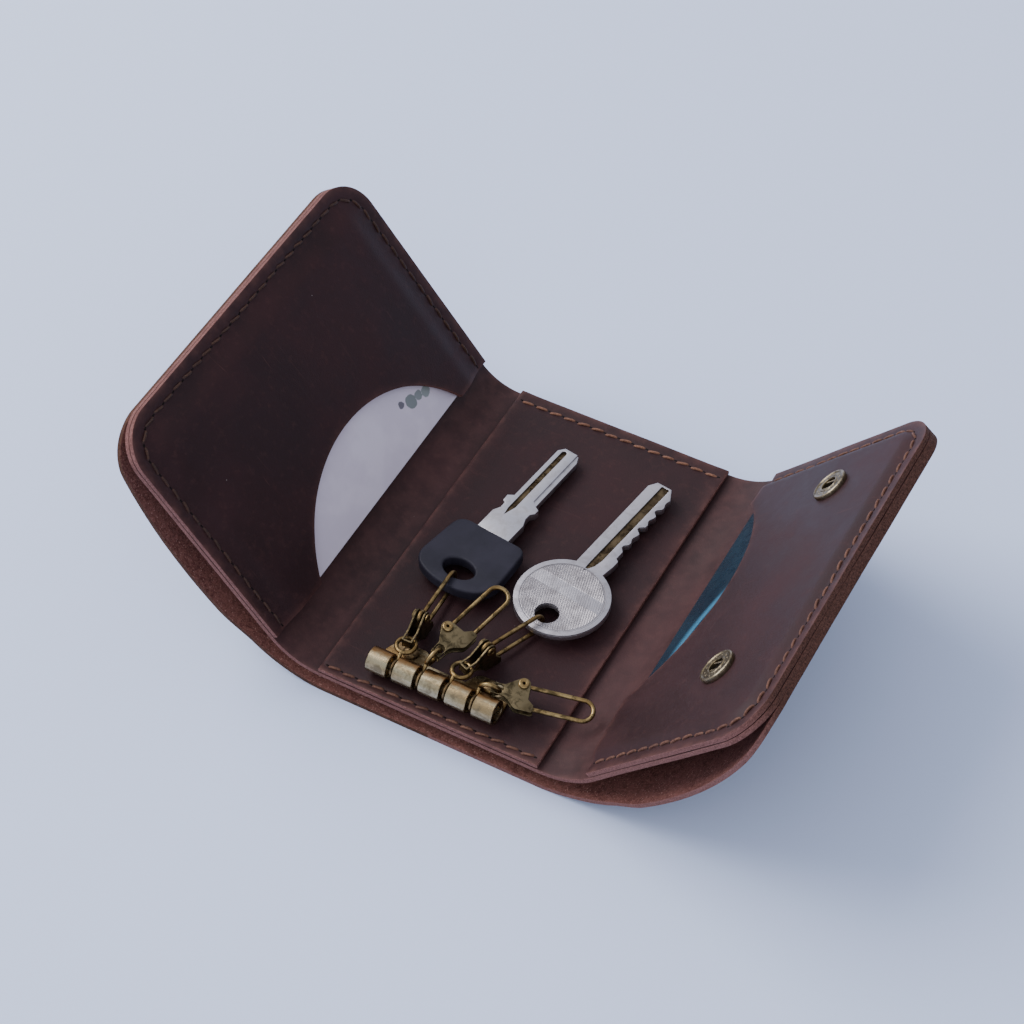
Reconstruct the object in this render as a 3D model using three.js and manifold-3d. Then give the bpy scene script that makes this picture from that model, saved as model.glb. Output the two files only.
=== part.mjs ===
// Three-panel leather key organiser, lying open: a key panel with a four-hook bar in the middle,
// a card pocket on each raised flap, and a note pocket between the liner and the outer cover.
// Millimetres, +Z up. The origin is the middle of the flat underside that rests on the table.
// +X runs along the hook bar towards the snap flap, and +Y runs from the hook bar along the keys.

import * as THREE from 'three';
import * as BufferGeometryUtils from 'three/addons/utils/BufferGeometryUtils.js';
import Module from 'manifold-3d';

const wasm = await Module();
wasm.setup();

// ---------------------------------------------------------------- driving dimensions

const HEIGHT = 100; // along the folds
const PANEL_WIDTH = 58.8; // key panel, across
const LEATHER = 1.3; // one layer
const GAP = 0.3; // clearance between touching pieces
const CORNER = 11; // radius of the outer corners
const NOTE_GAP = 4.3; // note pocket under the key panel, beyond the usual clearance
const NOTE_BOW = 28; // how strongly the cover bows away beside the folds
const FLAT_TO = 15; // the note pocket is fully open from the near edge to here
const SEAM_AT = 47; // and stitched shut from here on

const LEFT = { side: -1, tilt: 54, bend: 12.9, width: 63.5, notchDepth: 21, notchRadius: 38, notchAt: 2 };
const RIGHT = { side: 1, tilt: 48.2, bend: 16.5, width: 58.5, notchDepth: 14.8, notchRadius: 44.2, notchAt: 4.5 };
const LEFT_CLOSED_GAP = 13; // key panel to closed left pocket
const RIGHT_CLOSED_GAP = 21.4; // key panel to closed right pocket

const CARD = { length: 85.6, width: 54, thickness: 0.8, corner: 3.2 };
const RIM = 3.2; // stitched border of a pocket

const BAR = { x: -18.2, length: 33.8, knuckles: 5, slot: 1.7, radius: 3.1, bore: 2.45, height: 3.75, y: -43.7 };
const BASE_PLATE = { thickness: 0.8, depth: 9.5 };
const ROD_RADIUS = 0.9;

const WIRE = 0.55; // radius of hook wire
const EYE = { loop: 1.7, stem: 4.05, ring: 2.3 };
const CLIP = { plate: 0.5, spread: 0.9, hole: 4.4, neck: 2.6, rivetX: 9.8, rivetY: 2.6 };
const BAIL = { reach: 17, half: 2.6 };

const SNAP = { radius: 4.7, height: 1.3, bore: 2, from: 33.5, ys: [32, -27] };

const COVER_BOTTOM = LEATHER * 3 + GAP * 2 + NOTE_GAP; // depth of the stack below the key panel's face
const FACE = COVER_BOTTOM; // height of the key panel's face above the table

// ---------------------------------------------------------------- materials

const material = (color, roughness, metalness = 0) => new THREE.MeshStandardMaterial({ color, roughness, metalness });
const coverLeather = material(0x4a2a22, 0.62);
const linerLeather = material(0x5a362b, 0.7);
const pocketLeather = material(0x44251f, 0.58);
const thread = material(0x7a4a2c, 0.8);
const bronze = material(0x8a6c3a, 0.38, 0.9);
const darkBronze = material(0x5d4526, 0.45, 0.9);
const nickel = material(0xb4b0a6, 0.35, 0.9);
const steel = material(0x9a9a98, 0.4, 0.9);
const blackPlastic = material(0x16181f, 0.42);
const whiteCard = material(0xd9d4dc, 0.5);
const blueCard = material(0x3c6a80, 0.35);

// ---------------------------------------------------------------- helpers

const object = new THREE.Group();
object.name = 'key_organiser';

/** Adds a named mesh to a group. */
function add(group, name, geometry, look, position = [0, 0, 0]) {
  const mesh = new THREE.Mesh(geometry, look);
  mesh.name = name;
  mesh.position.set(...position);
  group.add(mesh);
  return mesh;
}

/** A triangle mesh as a Manifold solid. */
function solid(geometry) {
  const bare = geometry.clone();
  bare.deleteAttribute('normal');
  bare.deleteAttribute('uv');
  const merged = BufferGeometryUtils.mergeVertices(bare, 1e-4);
  return new wasm.Manifold(
    new wasm.Mesh({
      numProp: 3,
      vertProperties: new Float32Array(merged.attributes.position.array),
      triVerts: new Uint32Array(merged.index.array),
    }),
  );
}

/** A Manifold solid as a three.js geometry. */
function geometryOf(manifold) {
  const mesh = manifold.getMesh();
  const geometry = new THREE.BufferGeometry();
  geometry.setAttribute('position', new THREE.BufferAttribute(new Float32Array(mesh.vertProperties), 3));
  geometry.setIndex(new THREE.BufferAttribute(new Uint32Array(mesh.triVerts), 1));
  geometry.computeVertexNormals();
  return geometry;
}

/** Joins geometries that overlap, then cuts others out of them. */
function combine(joined, cut = []) {
  let result = solid(joined[0]);
  for (const geometry of joined.slice(1)) result = result.add(solid(geometry));
  for (const geometry of cut) result = result.subtract(solid(geometry));
  return geometryOf(result);
}

const box = (x, y, z, at) => new THREE.BoxGeometry(x, y, z).translate(...at);

/** An outline extruded along Z from low to high. */
function plate(shape, low, high, curveSegments = 10) {
  const options = { depth: high - low, bevelEnabled: false, curveSegments };
  return new THREE.ExtrudeGeometry(shape, options).translate(0, 0, low);
}

/** A cylinder along X, Y or Z. */
function rod(radius, length, axis, at, sides = 20) {
  const geometry = new THREE.CylinderGeometry(radius, radius, length, sides);
  if (axis === 'x') geometry.rotateZ(Math.PI / 2);
  if (axis === 'z') geometry.rotateX(Math.PI / 2);
  return geometry.translate(...at);
}

/** A round wire along a curve. */
function wireAlong(curve, radius, steps, sides = 6) {
  const section = new THREE.Shape();
  section.absarc(0, 0, radius, 0, Math.PI * 2);
  return new THREE.ExtrudeGeometry(section, {
    extrudePath: curve,
    steps,
    curveSegments: sides / 2,
    bevelEnabled: false,
  });
}

/**
 * A closed sheet over a grid. rows are values of v. at(v) lists the stations across that row.
 * top and bottom give the offset of each face, and place turns (u, v, offset) into a point.
 */
function sheet({ rows, at, top, bottom, place = (u, v, n) => [u, v, n] }) {
  const points = [];
  const index = [];
  const grid = (face) =>
    rows.map((v) =>
      at(v).map((u) => {
        points.push(...place(u, v, face(u, v)));
        return points.length / 3 - 1;
      }),
    );
  const upper = grid(top);
  const lower = grid(bottom);
  const quad = (a, b, c, d) => index.push(a, b, c, a, c, d);
  const last = rows.length - 1;
  const end = upper[0].length - 1;
  for (let i = 0; i < last; i += 1) {
    for (let j = 0; j < end; j += 1) {
      quad(upper[i][j], upper[i][j + 1], upper[i + 1][j + 1], upper[i + 1][j]);
      quad(lower[i][j], lower[i + 1][j], lower[i + 1][j + 1], lower[i][j + 1]);
    }
    quad(upper[i][0], upper[i + 1][0], lower[i + 1][0], lower[i][0]);
    quad(upper[i][end], lower[i][end], lower[i + 1][end], upper[i + 1][end]);
  }
  for (let j = 0; j < end; j += 1) {
    quad(upper[0][j], lower[0][j], lower[0][j + 1], upper[0][j + 1]);
    quad(upper[last][j], upper[last][j + 1], lower[last][j + 1], lower[last][j]);
  }
  const geometry = new THREE.BufferGeometry();
  geometry.setAttribute('position', new THREE.Float32BufferAttribute(points, 3));
  geometry.setIndex(index);
  return facingOut(geometry);
}

/** Turns the triangles over if the solid is inside out. */
function facingOut(geometry) {
  const p = geometry.attributes.position;
  const corner = (i) => new THREE.Vector3().fromBufferAttribute(p, geometry.index.getX(i));
  let volume = 0;
  for (let i = 0; i < geometry.index.count; i += 3) {
    volume += corner(i).dot(corner(i + 1).cross(corner(i + 2)));
  }
  if (volume < 0) geometry.index.array.reverse();
  geometry.computeVertexNormals();
  return geometry;
}

const ramp = (from, to, x) => THREE.MathUtils.smoothstep(x, from, to);

// ---------------------------------------------------------------- leather: how far the cover bows away

const HALF = HEIGHT / 2;
const HALF_PANEL = PANEL_WIDTH / 2;
const arcLength = (flap) => THREE.MathUtils.degToRad(flap.tilt) * flap.bend;

/** Share of the flap's whole run, from the key panel's edge to the outer edge. */
const share = (flap, run) => THREE.MathUtils.clamp(run / (arcLength(flap) + flap.width), 0, 1);

/** Depth of the note pocket at a run beyond the key panel's edge and a height v. */
function noteDepth(flap, run, v) {
  const open = 1 - ramp(FLAT_TO, SEAM_AT, v);
  const t = flap ? share(flap, run) : 0;
  return open * (1 - t) * (NOTE_GAP + NOTE_BOW * t * ramp(0, 0.3, t));
}

const LINER_TOP = -LEATHER - GAP;
const LINER_BOTTOM = LINER_TOP - LEATHER;
const COVER_TOP = LINER_BOTTOM - GAP;
const layers = {
  liner: { look: linerLeather, top: () => LINER_TOP, bottom: () => LINER_BOTTOM },
  cover: {
    look: coverLeather,
    top: (flap, run, v) => COVER_TOP - noteDepth(flap, run, v),
    bottom: (flap, run, v) => COVER_TOP - LEATHER - noteDepth(flap, run, v),
  },
};
const coverRows = [-HALF, FLAT_TO, 23, 31, 39, SEAM_AT, HALF];

/** Outer edge of a flap at height v, with its round corners. */
function outerEdge(flap, v) {
  const over = Math.abs(v) - (HALF - CORNER);
  return over > 0 ? flap.width - CORNER + Math.sqrt(Math.max(CORNER ** 2 - over ** 2, 0)) : flap.width;
}

/** Rows that follow the round corners as well as the note pocket's slope. */
function cornerRows() {
  const rows = [FLAT_TO, 23, 31];
  for (let step = 0; step <= 5; step += 1) {
    const v = HALF - CORNER + CORNER * Math.sin((step / 5) * (Math.PI / 2));
    rows.push(v, -v);
  }
  return rows.sort((a, b) => a - b);
}

// ---------------------------------------------------------------- groups: centre and the two flaps

const centre = new THREE.Group();
centre.position.set(0, 0, FACE);
object.add(centre);

/** A flap's own frame: its Y edge is where the fold's curve ends, and its +Z faces inwards. */
function flapGroup(flap) {
  const angle = THREE.MathUtils.degToRad(flap.tilt);
  const group = new THREE.Group();
  group.position.set(
    flap.side * (HALF_PANEL + flap.bend * Math.sin(angle)),
    0,
    FACE + flap.bend * (1 - Math.cos(angle)),
  );
  group.rotation.y = -flap.side * angle;
  object.add(group);
  group.updateMatrixWorld(true);
  return group;
}
const leftFlap = flapGroup(LEFT);
const rightFlap = flapGroup(RIGHT);

// ---------------------------------------------------------------- leather: cover and liner

for (const [name, layer] of Object.entries(layers)) {
  const middle = HALF_PANEL - GAP / 2;
  const middleSheet = sheet({
    rows: coverRows,
    at: () => [-middle, middle],
    top: (u, v) => layer.top(null, 0, v),
    bottom: (u, v) => layer.bottom(null, 0, v),
  });
  add(centre, `${name}_center`, middleSheet, layer.look);

  for (const [label, flap, group] of [['left', LEFT, leftFlap], ['right', RIGHT, rightFlap]]) {
    const arc = arcLength(flap);
    const foldStations = [0.01, 0.25, 0.5, 0.75, 0.99].map((part) => part * arc);
    const foldSheet = sheet({
      rows: coverRows,
      at: () => foldStations,
      top: (u, v) => layer.top(flap, u, v),
      bottom: (u, v) => layer.bottom(flap, u, v),
      place: (u, v, n) => {
        const turn = u / flap.bend;
        const x = HALF_PANEL + (flap.bend - n) * Math.sin(turn);
        return [flap.side * x, v, flap.bend - (flap.bend - n) * Math.cos(turn)];
      },
    });
    add(centre, `${name}_fold_${label}`, foldSheet, layer.look);

    const flapSheet = sheet({
      rows: cornerRows(),
      at: (v) => [0.01, 0.2, 0.45, 0.7, 0.88, 1].map((part) => part * outerEdge(flap, v)),
      top: (u, v) => layer.top(flap, arc + u, v),
      bottom: (u, v) => layer.bottom(flap, arc + u, v),
      place: (u, v, n) => [flap.side * u, v, n],
    });
    add(group, `${name}_${label}`, flapSheet, layer.look);
  }
}

// ---------------------------------------------------------------- leather: key panel and card pockets

add(centre, 'key_panel', box(PANEL_WIDTH, HEIGHT, LEATHER, [0, 0, -LEATHER / 2]), pocketLeather);

/** How far the thumb notch cuts into a pocket's open edge at height v. */
function notch(flap, v) {
  const off = v - flap.notchAt;
  const reach = Math.sqrt(Math.max(flap.notchRadius ** 2 - off ** 2, 0));
  return Math.max(reach - (flap.notchRadius - flap.notchDepth), 0);
}

const POCKET_BOTTOM = -0.2;
const POCKET_TOP = POCKET_BOTTOM + LEATHER;
const PILLOW = 0.7; // swell of a pocket's face

/** Height of a pocket's outer face over the swell of the card. */
function pocketFace(flap, u, v) {
  const across = THREE.MathUtils.clamp((outerEdge(flap, v) - u) / (flap.width / 2), 0, 1);
  const along = THREE.MathUtils.clamp((HALF - Math.abs(v)) / (HALF / 2), 0, 1);
  return PILLOW * across * along;
}

function pocket(flap) {
  const sagitta = flap.notchRadius - flap.notchDepth;
  const halfChord = Math.sqrt(flap.notchRadius ** 2 - sagitta ** 2);
  const rows = new Set([-HALF, HALF, RIM - HALF, RIM + 0.4 - HALF, HALF - RIM, HALF - RIM - 0.4]);
  for (let step = 0; step <= 10; step += 1) rows.add(flap.notchAt + halfChord * (step / 5 - 1));
  for (let step = 0; step <= 4; step += 1) {
    const v = HALF - CORNER + CORNER * Math.sin((step / 4) * (Math.PI / 2));
    rows.add(v);
    rows.add(-v);
  }
  const inRim = (u, v) => HALF - Math.abs(v) < RIM + 0.01 || outerEdge(flap, v) - u < RIM + 0.01;
  return sheet({
    rows: [...rows].sort((a, b) => a - b),
    at: (v) => {
      const edge = outerEdge(flap, v);
      const start = notch(flap, v) + 0.3;
      const span = edge - RIM - 0.4 - start;
      return [start, start + span / 3, start + (span * 2) / 3, edge - RIM - 0.4, edge - RIM, edge];
    },
    top: (u, v) => POCKET_TOP + pocketFace(flap, u, v),
    bottom: (u, v) => (inRim(u, v) ? LINER_TOP + GAP : POCKET_BOTTOM + pocketFace(flap, u, v)),
    place: (u, v, n) => [flap.side * u, v, n],
  });
}
add(leftFlap, 'left_pocket', pocket(LEFT), pocketLeather);
add(rightFlap, 'right_pocket', pocket(RIGHT), pocketLeather);

// ---------------------------------------------------------------- cards

function card(flap) {
  const w = CARD.width;
  const h = CARD.length;
  const r = CARD.corner;
  const shape = new THREE.Shape();
  shape.moveTo(r, -h / 2);
  shape.absarc(w - r, r - h / 2, r, -Math.PI / 2, 0);
  shape.absarc(w - r, h / 2 - r, r, 0, Math.PI / 2);
  shape.absarc(r, h / 2 - r, r, Math.PI / 2, Math.PI);
  shape.absarc(r, r - h / 2, r, Math.PI, Math.PI * 1.5);
  const low = LINER_TOP + GAP;
  const geometry = plate(shape, low, low + CARD.thickness, 3);
  return flap.side < 0 ? geometry.rotateZ(Math.PI) : geometry;
}
add(leftFlap, 'left_card', card(LEFT), whiteCard, [-0.6, 0, 0]);
add(rightFlap, 'right_card', card(RIGHT), blueCard, [0.3, 0, 0]);

// ---------------------------------------------------------------- stitching

const STITCH = 0.35;
const STITCH_INSET = 3.2;

/** The stitch line round a pocket's three sewn sides. */
function pocketSeam(flap) {
  const r = CORNER - STITCH_INSET;
  const reach = flap.width - STITCH_INSET;
  const top = HALF - STITCH_INSET;
  const at = (u, v) => new THREE.Vector3(flap.side * u, v, POCKET_TOP + GAP + STITCH + 0.05);
  const arc = (v, sign) =>
    [0, 1, 2, 3, 4].map((step) => {
      const turn = (step / 4) * (Math.PI / 2);
      return at(reach - r + r * Math.sin(turn), v + sign * r * Math.cos(turn));
    });
  const lower = arc(-top + r, -1);
  const upper = arc(top - r, 1).reverse();
  return [at(1, -top), ...lower, ...upper, at(1, top)];
}

/** A thin thread of square section through the given points. */
function threadThrough(knots) {
  const pieces = [];
  for (let i = 1; i < knots.length; i += 1) {
    const run = knots[i].clone().sub(knots[i - 1]);
    const piece = new THREE.BoxGeometry(run.length() + STITCH, STITCH, STITCH);
    piece.rotateZ(Math.atan2(run.y, run.x));
    const middle = knots[i].clone().add(knots[i - 1]).multiplyScalar(0.5);
    pieces.push(piece.translate(middle.x, middle.y, middle.z));
  }
  return combine(pieces);
}
add(leftFlap, 'left_seam', threadThrough(pocketSeam(LEFT)), thread);
add(rightFlap, 'right_seam', threadThrough(pocketSeam(RIGHT)), thread);

for (const [name, v] of [['panel_seam_near', -HALF + 1.8], ['panel_seam_far', HALF - STITCH_INSET]]) {
  const z = GAP + STITCH / 2;
  const end = HALF_PANEL - 1.2;
  add(centre, name, threadThrough([new THREE.Vector3(-end, v, z), new THREE.Vector3(end, v, z)]), thread);
}

// ---------------------------------------------------------------- hook bar

const knuckle = (BAR.length - (BAR.knuckles - 1) * BAR.slot) / BAR.knuckles;
const slotX = (i) => BAR.x + knuckle * (i + 1) + BAR.slot * (i + 0.5);
const barMiddle = BAR.x + BAR.length / 2;

function bar() {
  const tube = rod(BAR.radius, BAR.length, 'x', [barMiddle, BAR.y, BAR.height], 20);
  const flange = new THREE.Shape();
  const back = BAR.y + BASE_PLATE.depth;
  const front = BAR.y - 0.8;
  const end = BAR.x + BAR.length;
  flange.moveTo(BAR.x, front);
  flange.lineTo(end, front);
  flange.lineTo(end, BAR.y + 2);
  flange.lineTo(end - 3.5, back);
  flange.lineTo(end - 9, back);
  flange.lineTo(end - 12, back - 3.5);
  flange.lineTo(BAR.x + 12, back - 3.5);
  flange.lineTo(BAR.x + 9, back);
  flange.lineTo(BAR.x + 3.5, back);
  flange.lineTo(BAR.x, BAR.y + 2);
  flange.closePath();
  const cuts = [rod(BAR.bore, BAR.length + 2, 'x', [barMiddle, BAR.y, BAR.height], 16)];
  for (let i = 0; i < BAR.knuckles - 1; i += 1) {
    cuts.push(box(BAR.slot, 12, 6.4, [slotX(i), BAR.y, GAP + BASE_PLATE.thickness + 3.5]));
  }
  for (const x of rivetXs) cuts.push(rod(1.2, 6, 'z', [x, rivetY, 1], 12));
  return combine([tube, plate(flange, GAP, GAP + BASE_PLATE.thickness)], cuts);
}
const rivetXs = [BAR.x + 6.3, BAR.x + BAR.length - 6.3];
const rivetY = BAR.y + BASE_PLATE.depth - 2.2;
add(centre, 'key_bar', bar(), bronze);

const rodLength = BAR.length - 1.6;
add(centre, 'bar_rod', rod(ROD_RADIUS, rodLength, 'x', [barMiddle, BAR.y, BAR.height], 14), darkBronze);

/** A domed rivet head on its shank. */
function barRivet() {
  const top = GAP + BASE_PLATE.thickness + GAP;
  const outline = [[0, GAP], [0.85, GAP], [0.85, top], [1.9, top], [1.7, top + 0.5], [0.9, top + 0.9], [0, top + 1]];
  return new THREE.LatheGeometry(outline.map(([r, z]) => new THREE.Vector2(r, z)), 12).rotateX(Math.PI / 2);
}
rivetXs.forEach((x, i) => add(centre, `bar_rivet_${i + 1}`, barRivet(), darkBronze, [x, rivetY, 0]));

// ---------------------------------------------------------------- hooks

/**
 * Each hook: the slot it hangs in, how high its stem leans above the panel, which way the clip points
 * (azimuth from +X), how much it climbs, and the roll of its plates (90 stands them on edge).
 */
const HOOKS = [
  { lean: 30, azimuth: 92, climb: -3.5, roll: 90 },
  { lean: 40, azimuth: 76, climb: 4, roll: 14 },
  { lean: 30, azimuth: 68.5, climb: -4.2, roll: 90 },
  { lean: 34, azimuth: 16, climb: -6.5, roll: 12 },
];

/** The frame of a hook's clip: +X along the clip, +Z across its plates, from the end of its stem. */
function hookFrame(hook, i) {
  const lean = THREE.MathUtils.degToRad(hook.lean);
  const group = new THREE.Group();
  const out = EYE.stem;
  group.position.set(slotX(i), BAR.y + out * Math.cos(lean), BAR.height + out * Math.sin(lean));
  group.rotation.order = 'ZYX';
  group.rotation.z = THREE.MathUtils.degToRad(hook.azimuth);
  group.rotation.y = THREE.MathUtils.degToRad(-hook.climb);
  group.rotation.x = THREE.MathUtils.degToRad(hook.roll);
  centre.add(group);
  group.updateMatrix();
  return group;
}

/** The wire eye: a loop round the rod inside the bar, a stem through the slot, and the ring outside. */
function eye(hook, i, frame) {
  const loop = new THREE.TorusGeometry(EYE.loop, WIRE * 0.85, 6, 14).rotateY(Math.PI / 2);
  loop.translate(slotX(i), BAR.y, BAR.height);
  const lean = THREE.MathUtils.degToRad(hook.lean);
  const along = (r) => new THREE.Vector3(slotX(i), BAR.y + r * Math.cos(lean), BAR.height + r * Math.sin(lean));
  const stem = wireAlong(new THREE.LineCurve3(along(EYE.loop), along(EYE.stem + 0.1)), WIRE * 0.9, 1);
  const ring = new THREE.TorusGeometry(EYE.ring, WIRE, 6, 16).rotateX(Math.PI / 2).translate(EYE.ring, 0, 0);
  ring.applyMatrix4(frame.matrix);
  return combine([loop, stem, ring]);
}

/** The sheet clip: two plates joined by a web, drilled for the ring and the rivet. */
function clip() {
  const shape = new THREE.Shape();
  shape.moveTo(CLIP.neck, -1.3);
  shape.lineTo(5.6, -1.5);
  shape.lineTo(8.6, -3.7);
  shape.lineTo(13.2, -3.9);
  shape.lineTo(13.2, -2);
  shape.lineTo(11.6, -0.8);
  shape.lineTo(11.4, 2.8);
  shape.absarc(CLIP.rivetX, CLIP.rivetY, 1.5, 0.2, Math.PI * 0.72);
  shape.lineTo(5.6, 1.5);
  shape.lineTo(CLIP.neck, 1.3);
  shape.closePath();
  const inner = CLIP.spread;
  const outer = CLIP.spread + CLIP.plate;
  const joined = [plate(shape, inner, outer, 4), plate(shape, -outer, -inner, 4)];
  joined.push(box(0.5, 2.6, outer * 2, [CLIP.neck + 0.25, 0, 0]));
  const ringHole = rod(1.15, 4, 'z', [CLIP.hole, 0, 0], 10);
  const rivetHole = rod(0.85, 4, 'z', [CLIP.rivetX, CLIP.rivetY, 0], 8);
  return combine(joined, [ringHole, rivetHole]);
}

/** The tubular rivet that the bail turns on. */
function clipRivet() {
  const face = CLIP.spread + CLIP.plate + 0.15;
  const half = [[0.28, -face - 0.4], [1.2, -face - 0.4], [1.2, -face], [0.5, -face]];
  const mirrored = half.map(([r, z]) => [r, -z]).reverse();
  const outline = [...half, ...mirrored, half[0]].map(([r, z]) => new THREE.Vector2(r, z));
  return new THREE.LatheGeometry(outline, 10).rotateX(Math.PI / 2);
}

/** The sprung bail: an eye on the rivet, one leg out, round the end, and back to the clip. */
function bail() {
  const pivot = new THREE.TorusGeometry(1.15, 0.45, 6, 12);
  const r = BAIL.half;
  const turnAt = BAIL.reach - r;
  const knots = [[1.15, 0], [turnAt, 0]];
  for (let step = 1; step <= 8; step += 1) {
    const turn = (step / 8) * Math.PI;
    knots.push([turnAt + r * Math.sin(turn), -r + r * Math.cos(turn)]);
  }
  knots.push([2.2, -2 * r]);
  const curve = new THREE.CatmullRomCurve3(knots.map(([x, y]) => new THREE.Vector3(x, y, 0)), false, 'centripetal');
  return combine([wireAlong(curve, WIRE, 18), pivot]);
}

const hookFrames = HOOKS.map((hook, i) => {
  const frame = hookFrame(hook, i);
  add(centre, `hook_eye_${i + 1}`, eye(hook, i, frame), bronze);
  add(frame, `hook_clip_${i + 1}`, clip(), bronze);
  add(frame, `hook_rivet_${i + 1}`, clipRivet(), bronze, [CLIP.rivetX, CLIP.rivetY, 0]);
  add(frame, `hook_bail_${i + 1}`, bail(), bronze, [CLIP.rivetX, CLIP.rivetY, 0]);
  return frame;
});

// ---------------------------------------------------------------- keys

/** The point inside a bail's round end, in the centre group's frame. */
function bailTip(frame) {
  return new THREE.Vector3(CLIP.rivetX + BAIL.reach - 0.1, 0, 0).applyMatrix4(frame.matrix);
}

/** A group at a bail's end, turned so that its +Y runs along the key. */
function keyGroup(frame, heading, droop) {
  const group = new THREE.Group();
  group.position.copy(bailTip(frame));
  group.rotation.order = 'ZXY';
  group.rotation.z = THREE.MathUtils.degToRad(heading);
  group.rotation.x = THREE.MathUtils.degToRad(droop);
  centre.add(group);
  return group;
}

const carKey = keyGroup(hookFrames[0], -7, -2.2);
const CAR_HEAD = { half: 11, near: -4.2, far: 15.4, thickness: 3.3 };

function carKeyHead() {
  const { half, near, far, thickness } = CAR_HEAD;
  const shape = new THREE.Shape();
  shape.moveTo(-4, near);
  shape.quadraticCurveTo(3, near - 1.2, 8, near + 1.6);
  shape.quadraticCurveTo(half + 0.3, near + 4, half, near + 8);
  shape.lineTo(half - 0.6, far - 3);
  shape.quadraticCurveTo(half - 0.8, far, half - 3.6, far);
  shape.lineTo(5 - half, far);
  shape.quadraticCurveTo(1.6 - half, far, 1 - half, far - 3);
  shape.lineTo(-half, near + 6);
  shape.quadraticCurveTo(-half, near + 1.2, -4, near);
  const hole = new THREE.Path();
  hole.absellipse(0.2, 1.4, 4.3, 2.9, 0, Math.PI * 2);
  shape.holes.push(hole);
  return plate(shape, -thickness / 2, thickness / 2, 8);
}
add(carKey, 'car_key_head', carKeyHead(), blackPlastic);

/** A car key's blade: a wide shoulder, two ears, and a narrow blade with a groove and a milled ledge. */
function carKeyBlade() {
  const start = CAR_HEAD.far + GAP;
  const shape = new THREE.Shape();
  shape.moveTo(-4.6, start);
  shape.lineTo(4.6, start);
  shape.lineTo(4.6, start + 6.2);
  shape.lineTo(3.8, start + 8.2);
  shape.lineTo(3.8, start + 10);
  shape.lineTo(4.7, start + 11);
  shape.lineTo(4.7, start + 12.4);
  shape.lineTo(3.2, start + 13.2);
  shape.lineTo(3.1, start + 31);
  shape.lineTo(2.2, start + 33);
  shape.lineTo(-1.8, start + 33.2);
  shape.lineTo(-3.1, start + 31.6);
  shape.lineTo(-3.1, start + 13.2);
  shape.lineTo(-4.6, start + 12.2);
  shape.lineTo(-4.4, start + 10.2);
  shape.lineTo(-3.6, start + 9.8);
  shape.lineTo(-3.6, start + 8);
  shape.closePath();
  const groove = box(1.5, 28, 1, [-1.2, start + 22, 1.1]);
  const ledge = box(2, 22, 1, [2.9, start + 24, 1.1]);
  return combine([plate(shape, -1.1, 1.1)], [groove, ledge]);
}
add(carKey, 'car_key_blade', carKeyBlade(), nickel);

const roundKey = keyGroup(hookFrames[2], -8, -1.6);

/** A round-bow key: the bow, a shoulder and a blade cut along one edge. */
function roundKeyShape() {
  const bow = 11.75;
  const centreY = 8;
  const half = 3.9;
  const meet = Math.asin(half / bow);
  const shape = new THREE.Shape();
  shape.absarc(0, centreY, bow, Math.PI / 2 + meet, Math.PI / 2 - meet + Math.PI * 2);
  const root = centreY + bow;
  shape.lineTo(half + 0.5, root + 3);
  shape.lineTo(half + 0.5, root + 5);
  shape.lineTo(half - 0.4, root + 5.6);
  const cuts = [1.4, 0.9, 1.7, 1, 1.5, 0.8];
  cuts.forEach((depth, i) => {
    const y = root + 8.2 + i * 3.5;
    shape.lineTo(half - 0.4, y);
    shape.lineTo(half - depth, y + 1);
    shape.lineTo(half - depth, y + 1.7);
    shape.lineTo(half - 0.5, y + 2.7);
  });
  shape.lineTo(1.6, root + 31.6);
  shape.lineTo(-half + 1.4, root + 31.6);
  shape.lineTo(-half, root + 29.4);
  shape.closePath();
  const hole = new THREE.Path();
  hole.absarc(0, 1.9, 3, 0, Math.PI * 2);
  shape.holes.push(hole);
  return plate(shape, -1, 1, 22);
}
add(roundKey, 'round_key', combine([roundKeyShape()], [box(1.8, 29, 0.8, [-0.6, 34.4, 1])]), steel);

// ---------------------------------------------------------------- snap fasteners

/** Where a closing flap turns: equally far from the key panel's face and from its own pocket face. */
function hinge(flap, closedGap) {
  const half = closedGap / 2;
  const angle = THREE.MathUtils.degToRad(flap.tilt);
  const lift = half - flap.bend;
  return { x: flap.side * (HALF_PANEL - lift * Math.tan(angle / 2)), z: FACE + half };
}

/** Turns a point about a hinge line along Y. */
function turned(point, at, degrees) {
  const spun = point.clone().sub(new THREE.Vector3(at.x, 0, at.z));
  spun.applyAxisAngle(new THREE.Vector3(0, 1, 0), THREE.MathUtils.degToRad(degrees));
  return spun.add(new THREE.Vector3(at.x, 0, at.z));
}

const rightHinge = hinge(RIGHT, RIGHT_CLOSED_GAP);
const leftHinge = hinge(LEFT, LEFT_CLOSED_GAP);

/** A lathe solid from [radius, height] pairs, standing on +Z. */
function lathe(outline, sides = 16) {
  const profile = outline.map(([r, z]) => new THREE.Vector2(r, z));
  return facingOut(new THREE.LatheGeometry(profile, sides).rotateX(Math.PI / 2));
}

function socket() {
  const { radius, height, bore } = SNAP;
  const outline = [[bore, 0], [radius, 0], [radius, height * 0.4], [radius - 0.7, height], [bore, height], [bore, 0]];
  return lathe(outline);
}
function cap() {
  return lathe([[0, 0], [CAP_RADIUS, 0], [CAP_RADIUS - 0.2, -0.7], [3.6, -1.3], [0, -1.5]]);
}
function stud() {
  return lathe([[0, 0], [STUD_RADIUS, 0], [STUD_RADIUS, -0.5], [0.75, -0.5], [0.75, -1], [1, -1.2], [0.8, -1.5], [0, -1.5]], 18);
}

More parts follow.
